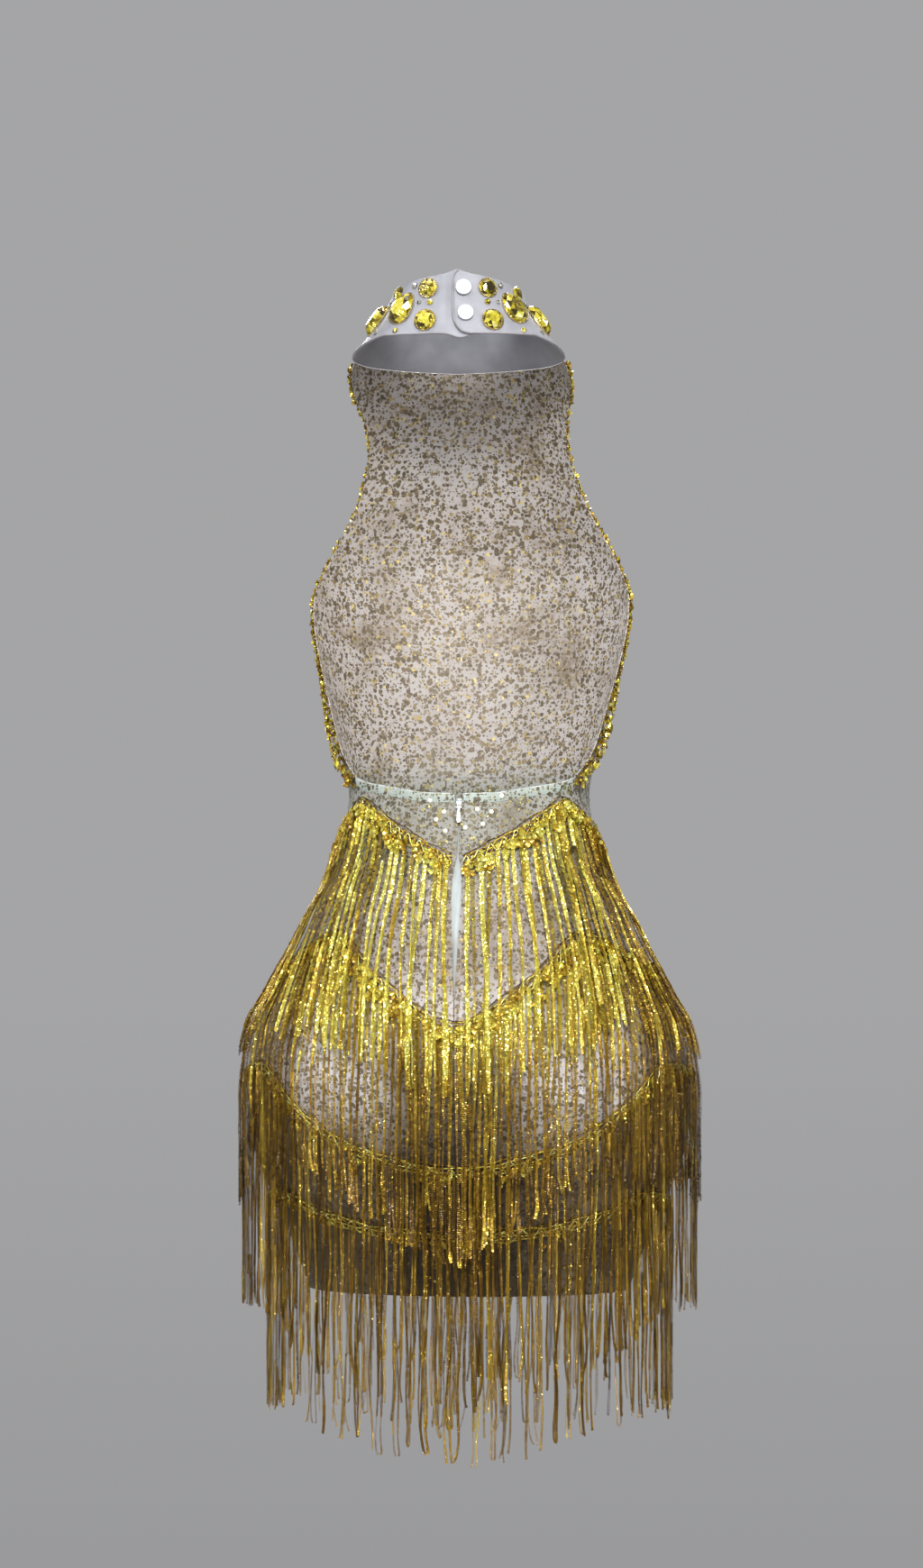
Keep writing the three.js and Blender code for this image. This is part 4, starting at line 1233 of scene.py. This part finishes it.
# a rolled seam along the lower edge, up the lapping end and over its top
seamRoll = {"radius": 0.85, "sides": 6, "inset": 1.1, "offset": 1.9, "points": (170, 40), "endOffset": 2.1}
angles = np.linspace(collarCut["underEnd"] + 2, collarCut["overEnd"] - 8, seamRoll["points"][0])
lowerZ = collarEdges(angles)[1] + seamRoll["inset"] - lapDip(angles)
lower = collarSpot(angles, lowerZ, seamRoll["offset"])
share = np.linspace(1, 0, seamRoll["points"][1])
bend = lapCorner(share * lapHeight, (1 - share) * lapHeight)
angles = collarCut["overEnd"] - 0.8 - (collarCut["cornerWidth"] - 0.5) * bend
topZ, bottomZ = collarEdges(angles)
topZ, bottomZ = topZ - seamRoll["inset"], bottomZ + seamRoll["inset"]
lapEnd = collarSpot(angles, topZ + (bottomZ - topZ) * share, seamRoll["endOffset"])
rolls = threadTubes("collar_seam_roll", [lower, lapEnd], seamRoll["radius"], seamRoll["sides"])
finishPiece(rolls, seamSatin)


def placeFacing(middle, right, out):
    place = Matrix((right, out.cross(right), out)).transposed().to_4x4()
    place.translation = Vector(middle) * mm
    return place


def collarPlace(angle, z, offset):
    right = collarSpot(angle - 2, z, offset) - collarSpot(angle + 2, z, offset)
    up = collarSpot(angle, z + 2, offset) - collarSpot(angle, z - 2, offset)
    right = Vector(right).normalized()
    out = right.cross(Vector(up).normalized()).normalized()
    return placeFacing(collarSpot(angle, z, offset), right, out)


def narrowPoint(piece, point):
    for vertex in piece.data.vertices:
        vertex.co.x *= 1 - point * (1 + vertex.co.y) / 2


def selectBy(piece, chosen):
    bpy.ops.object.mode_set(mode="OBJECT")
    for face in piece.data.polygons:
        face.select = chosen(face)
    bpy.ops.object.mode_set(mode="EDIT")


def selectAll():
    bpy.ops.mesh.select_all(action="SELECT")


def faceOutwards():
    selectAll()
    bpy.ops.mesh.normals_make_consistent(inside=False)
    bpy.ops.object.mode_set(mode="OBJECT")


gemCut = {"bottom": 0.02, "top": 0.78}  # where the ball is cut flat


def cutGem(name, halfWidth, halfLength, point, depth, cuts=2):
    deselectAll()
    bpy.ops.mesh.primitive_ico_sphere_add(subdivisions=cuts, radius=1)
    gem = bpy.context.object
    gem.name = name
    bpy.ops.object.mode_set(mode="EDIT")
    for way, cleared in (("bottom", "clear_inner"), ("top", "clear_outer")):
        selectAll()
        bpy.ops.mesh.bisect(plane_co=(0, 0, gemCut[way]), plane_no=(0, 0, 1), use_fill=True, **{cleared: True})
    faceOutwards()
    narrowPoint(gem, point)
    for vertex in gem.data.vertices:
        x, y, z = vertex.co
        vertex.co = (x * halfWidth * mm, y * halfLength * mm, z / gemCut["top"] * depth * mm)
    return gem


settingForm = {
    "corners": 24,
    "rim": 0.7,
    "wall": 1.7,
    "lip": 0.55,
    "sunk": 0.7,
    "claws": 8,
    "clawRadius": 0.75,
    "clawOut": 0.2,
}


def makeSetting(name, halfWidth, halfLength, point):
    deselectAll()
    bpy.ops.mesh.primitive_circle_add(vertices=settingForm["corners"], radius=1, fill_type="NGON")
    plate = bpy.context.object
    plate.name = name
    narrowPoint(plate, point)
    rim, wall = settingForm["rim"], settingForm["wall"] * mm
    for vertex in plate.data.vertices:
        vertex.co = (vertex.co.x * (halfWidth + rim) * mm, vertex.co.y * (halfLength + rim) * mm, 0)
    bpy.ops.object.mode_set(mode="EDIT")
    selectAll()
    bpy.ops.mesh.extrude_region_move(TRANSFORM_OT_translate={"value": (0, 0, wall)})
    bpy.ops.mesh.inset(thickness=settingForm["lip"] * mm)
    bpy.ops.transform.translate(value=(0, 0, -settingForm["sunk"] * mm))
    faceOutwards()
    parts = [plate]
    for claw in range(settingForm["claws"]):
        turn = 2 * math.pi * (claw + 0.5) / settingForm["claws"]
        up, clawOut = math.sin(turn), settingForm["clawOut"]
        narrowed = 1 - point * (1 + up) / 2
        spot = (math.cos(turn) * narrowed * (halfWidth + clawOut) * mm, up * (halfLength + clawOut) * mm, wall)
        clawRadius = settingForm["clawRadius"] * mm
        bpy.ops.mesh.primitive_ico_sphere_add(subdivisions=1, radius=clawRadius, location=spot)
        bpy.ops.object.transform_apply(location=True, rotation=False, scale=False)
        parts.append(bpy.context.object)
    return joinPieces(parts)


# painted reflections: a random shade for each facet
def paintFacetReflections(piece, low=0.0, high=1.0):
    attribute = piece.data.attributes.new("tint", "FLOAT", "FACE")
    attribute.data.foreach_set("value", random.uniform(low, high, len(piece.data.polygons)).astype(np.float32))


collarStones = [  # name, angle from the lap, height, half width, half length, point, turn, depth
    ("round_upper", 24, 14, 9, 9, 0, 0, 5.5),
    ("round_lower", 20.5, -15, 10, 10, 0, 0, 6),
    ("teardrop", 42, -3.5, 14.5, 16, 0.4, -22, 7),
    ("drop_long", 69.5, -13, 9, 16.5, 0.5, -14, 8),
]
stoneSeat = {"gap": 0.3, "rim": 0.7, "raised": 0.7, "sunk": 0.4}
for name, angle, z, halfWidth, halfLength, point, turn, depth in collarStones:
    halfWidth, halfLength = halfWidth - stoneSeat["rim"], halfLength - stoneSeat["rim"]
    for side, sense in (("left", 1), ("right", -1)):
        place = collarPlace(angle if sense > 0 else 360 - angle, z, collarCut["wall"] + stoneSeat["gap"])
        place = place @ Matrix.Rotation(math.radians(turn * sense), 4, "Z")
        gem = cutGem(f"gem_{name}_{side}", halfWidth, halfLength, point, depth - stoneSeat["sunk"])
        gem.data.transform(place @ Matrix.Translation((0, 0, stoneSeat["raised"] * mm)))
        paintFacetReflections(gem, -0.16, 0.9)
        finishPiece(gem, yellowStone, [f"stone_{name}_{side}"])
        setting = makeSetting(f"setting_{name}_{side}", halfWidth, halfLength, point)
        setting.data.transform(place)
        finishPiece(setting, settingGold)


def scatterStones(name, places, material):
    parts = []
    for place, width, length in places:
        gem = cutGem(name, width, length, 0, min(width, length) * 0.75, cuts=1)
        gem.data.transform(place)
        parts.append(gem)
    piece = joinPieces(parts)
    paintFacetReflections(piece)
    finishPiece(piece, material)


smallStones = {  # angle from the lap, height, half width, half length
    "small_gold_stones": [(20.2, 1.5, 3.2, 3.2), (38, -23.5, 3, 3), (57, 11, 6, 7.5), (30, 17, 2.4, 2.4)],
    "small_clear_stones": [(38, 17, 3, 3), (29, 1.5, 2.3, 2.3), (57, -24, 2.8, 2.8), (63, 2, 2.4, 2.4)],
}
for (name, rows), material in zip(smallStones.items(), (yellowStone, clearStone)):
    places = []
    for angle, z, width, length in rows:
        for turned in (angle, 360 - (angle + 0.8)):  # the right ones sit a little further round
            places.append((collarPlace(turned, z, collarCut["wall"] + 0.2), width, length))
    scatterStones(name, places, material)

snapCap = {
    "radius": 7,
    "depth": 2.2,
    "middle": 1.3,
    "angle": -4.5,
    "rings": [(1.1, 0.35), (2.6, 0.3)],  # inset, rise
    "round": 0.5,
}
for name, z in (("upper", 14), ("lower", -9)):
    deselectAll()
    size = {"radius": snapCap["radius"] * mm, "depth": snapCap["depth"] * mm}
    bpy.ops.mesh.primitive_cylinder_add(vertices=40, location=(0, 0, snapCap["middle"] * mm), **size)
    snap = bpy.context.object
    snap.name = "snap_cap_" + name
    bpy.ops.object.transform_apply(location=True, rotation=False, scale=False)
    bpy.ops.object.mode_set(mode="EDIT")
    selectBy(snap, lambda face: face.normal.z > 0.9)
    for inset, rise in snapCap["rings"]:
        bpy.ops.mesh.inset(thickness=inset * mm)
        bpy.ops.transform.translate(value=(0, 0, rise * mm))
    bpy.ops.object.mode_set(mode="OBJECT")
    edges = {"limit_method": "ANGLE", "angle_limit": math.radians(40)}
    applyModifier(snap, "BEVEL", width=snapCap["round"] * mm, segments=3, **edges)
    smoothUnder(snap, 40)
    snap.data.transform(collarPlace(360 + snapCap["angle"], z, collarCut["wall"] + 0.1))
    finishPiece(snap, snapEnamel, ["snap_" + name])
print("collar done")


# jewelled strips on the bodice's edges
edgeStrip = {
    "sequins": 1500,
    "stones": 46,
    "inner": 1.4,
    "outer": 4.4,
    "swell": 1.9,  # the strip thickens towards the waist
    "middle": 0.95,
    "weave": 0.024,
    "stoneLift": 3.2,
    "stoneSwell": 4.2,
    "stoneSizes": ((2.2, 2.2), (3.4, 4.4)),
}
for side, sense in (("left", -1), ("right", 1)):
    count = edgeStrip["sequins"]
    around = sense * random.uniform(0.9, 1.0, count)
    share = random.uniform(0.004, 1.02, count)
    swell = 1 + edgeStrip["swell"] * smoothStep(share, 0.7, 0.95)
    lift = edgeStrip["inner"] + random.uniform(0, 1, count) * (edgeStrip["outer"] - edgeStrip["inner"]) * swell
    middle = bodiceSpot(around, share, lift)
    out = unit(bodiceSpot(around, share, lift + 5) - middle)
    facing = out + random.normal(0, 0.45, out.shape)
    upward = random.normal(0, 1, out.shape) + (0, 0, 1)
    tint = np.clip(random.normal(0.62, 0.3, count), 0.05, 1)
    piece = strewSequins("edge_sequins_" + side, middle, facing, upward, random.normal(1.9, 0.2, count), tint)
    finishPiece(piece, sequinGold, ["edge_trim_" + side])
    places = []
    for row in range(edgeStrip["stones"]):
        share = (row + 0.5) / edgeStrip["stones"]
        around = sense * (edgeStrip["middle"] + (edgeStrip["weave"] if row % 2 else -edgeStrip["weave"]))
        heavy = float(smoothStep(share, 0.72, 0.95))
        lift = edgeStrip["stoneLift"] + edgeStrip["stoneSwell"] * heavy
        middle, beyond, above = (
            Vector(bodiceSpot(np.array(around), np.array(spot), offset))
            for spot, offset in ((share, lift), (share, lift + 5), (share - 0.006, lift))
        )
        out = (beyond - middle).normalized()
        right = (above - middle).normalized().cross(out).normalized()
        width, length = edgeStrip["stoneSizes"][row % 4 == 0]
        grown = 1 + 0.6 * heavy
        places.append((placeFacing(middle, right, out), width * grown, length * grown))
    scatterStones("edge_stones_" + side, places, yellowStone)
print("edges done")


# stones and loose flakes at the waist
waistStones = {
    "size": 2.5,
    "offset": 1.6,
    "spots": [  # angle, height
        (10.5, -457),
        (6, -467),
        (-3, -464),
        (-15, -450),
        (-11, -461),
        (-8.5, -448),
        (7, -450),
        (14, -440),
        (-20, -436),
    ],
}
places = []
for angle, z in waistStones["spots"]:
    spot = np.array(float(z)), np.array(float(angle))
    middle = Vector(aroundBody(*spot, waistStones["offset"]))
    beyond = Vector(aroundBody(*spot, waistStones["offset"] + 5))
    out = (beyond - middle).normalized()
    right = Vector((0, 0, 1)).cross(out).normalized()
    places.append((placeFacing(middle, right, out), waistStones["size"], waistStones["size"]))
scatterStones("waist_stones", places, paleStone)

flakes = {"count": 1500, "radius": 0.9, "top": -436, "bottom": -872, "offset": 1.75, "fromEdge": 2.2}
angle = random.uniform(0, 360, flakes["count"])
z = random.uniform(flakes["bottom"], flakes["top"], flakes["count"])
keep = (fromBack(angle) > flakes["fromEdge"]) & (z < waistAt(angle) - 2)
angle, z = angle[keep], z[keep]
middle = aroundBody(z, angle, flakes["offset"])
out = aroundBody(z, angle, flakes["offset"] + 5) - middle
facing = out / 5 + random.normal(0, 0.12, out.shape)
upward = random.normal(0, 1, out.shape) + (0, 0, 0.5)
tint = random.uniform(0.2, 1.0, len(z))
piece = strewSequins("loose_flakes", middle, facing, upward, random.normal(flakes["radius"], 0.2, len(z)), tint)
finishPiece(piece, sequinGold)

# thread loops from the zip's slider to the ends of the waist band
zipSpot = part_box("zip_slider")
zipTop = (zipSpot[0] + zipSpot[1]) / 2 / mm
zipLoops = {
    "radius": 0.4,
    "top": (-435.0, 3.0, 2.6),  # height, angle, offset
    "bandEnd": (-441.5, 1.9, 2.4),
    "slider": (1.2, -1.6, -0.4),  # aside, out, up
}
threads = []
for sense in (1, -1):
    thread = [
        aroundBody(np.array(z), np.array(sense * angle), offset)
        for z, angle, offset in (zipLoops["top"], zipLoops["bandEnd"])
    ]
    aside, y, z = zipLoops["slider"]
    thread.append(np.array([zipTop.x + sense * aside, zipSpot[1].y / mm + y, zipSpot[1].z / mm + z]))
    threads.append(np.array(thread))
finishPiece(threadTubes("zip_loops", threads, zipLoops["radius"]), snapEnamel)

for node, metal in (("zip_slider", sliderMetal), ("zip_pull", pullMetal)):
    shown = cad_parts[node]
    shown.data.materials.clear()
    shown.data.materials.append(metal)


# stage, lights and camera
def pointAt(thing, target):
    thing.rotation_euler = (Vector(target) - thing.location).to_track_quat("-Z", "Y").to_euler()


deselectAll()
bpy.ops.mesh.primitive_circle_add(vertices=96, radius=1.8, fill_type="NGON", location=(0, 0, -1.45))
floor = bpy.context.object
floor.name = "floor"
floorPaint = newFinish("floor_paint", roughness=0.8)
grain = noise(floorPaint, objectSpot(floorPaint), 3.0, 3.0)
feed(floorPaint, colour=ramp(floorPaint, grain, [(0.3, (0.45, 0.446, 0.44)), (0.7, (0.49, 0.486, 0.48))]))
floor.data.materials.append(floorPaint)

studio = bpy.data.worlds.new("studio")
scene.world = studio
studio.use_nodes = True
facing = addNode(studio, "TexCoord").outputs["Generated"]
height = addNode(studio, "SeparateXYZ", Vector=facing).outputs["Z"]
shade = addNode(studio, "MapRange", Value=height, From_Min=-1.0).outputs["Result"]
sky = ramp(studio, shade, [(0.2, (0.10, 0.10, 0.105)), (0.48, (0.50, 0.50, 0.51))])
backdrop = studio.node_tree.nodes["Background"]
setSocket(studio, backdrop.inputs["Color"], sky)
setSocket(studio, backdrop.inputs["Strength"], 0.75)

softLights = [  # name, place, size, power, colour
    ("keyLight", (-0.4, 2.1, 1.3), (0.7, 0.45), 70, (1.0, 0.98, 0.95)),
    ("leftLight", (2.0, 1.6, 0.7), (0.4, 0.9), 30, (0.97, 0.98, 1.0)),
    ("rightLight", (-2.1, 1.4, 0.6), (0.4, 0.9), 28, (1.0, 0.98, 0.96)),
    ("eyeLight", (0.5, 3.2, 0.1), (0.5, 0.5), 24, (1.0, 0.98, 0.95)),
    ("frontLight", (0.6, -2.8, 1.1), (1.2, 1.0), 70, (1.0, 0.99, 0.97)),
    ("topLight", (0, 0.4, 2.3), (1.2, 1.2), 22, (1.0, 1.0, 1.0)),
]
for name, spot, size, power, colour in softLights:
    data = bpy.data.lights.new(name, "AREA")
    data.shape = "RECTANGLE"
    data.size, data.size_y = size
    data.energy = power
    data.color = colour
    light = bpy.data.objects.new(name, data)
    scene.collection.objects.link(light)
    light.location = spot
    pointAt(light, (0, 0, -0.5))

cameraView = {
    "azimuth": 186,
    "distance": 5.0,
    "aim": (-0.0028, 0, -0.4256),
    "halfHeight": 0.696,
    "nearPlane": 0.05,
}
lens = bpy.data.cameras.new("view_camera")
camera = bpy.data.objects.new("view_camera", lens)
scene.collection.objects.link(camera)
turn = math.radians(cameraView["azimuth"])
aim = Vector(cameraView["aim"])
camera.location = aim + Vector((math.sin(turn), -math.cos(turn), 0)) * cameraView["distance"]
pointAt(camera, aim)
lens.sensor_fit = "VERTICAL"
lens.angle_y = 2 * math.atan(cameraView["halfHeight"] / (cameraView["distance"] - cameraView["nearPlane"]))
scene.camera = camera
scene.view_settings.view_transform = "Standard"
scene.view_settings.look = "None"

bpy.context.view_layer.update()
meshes = [piece.data for piece in scene.objects if piece.type == "MESH" and not piece.hide_render]
print("triangles", sum(len(mesh.loops) - 2 * len(mesh.polygons) for mesh in meshes))
print("scene done")
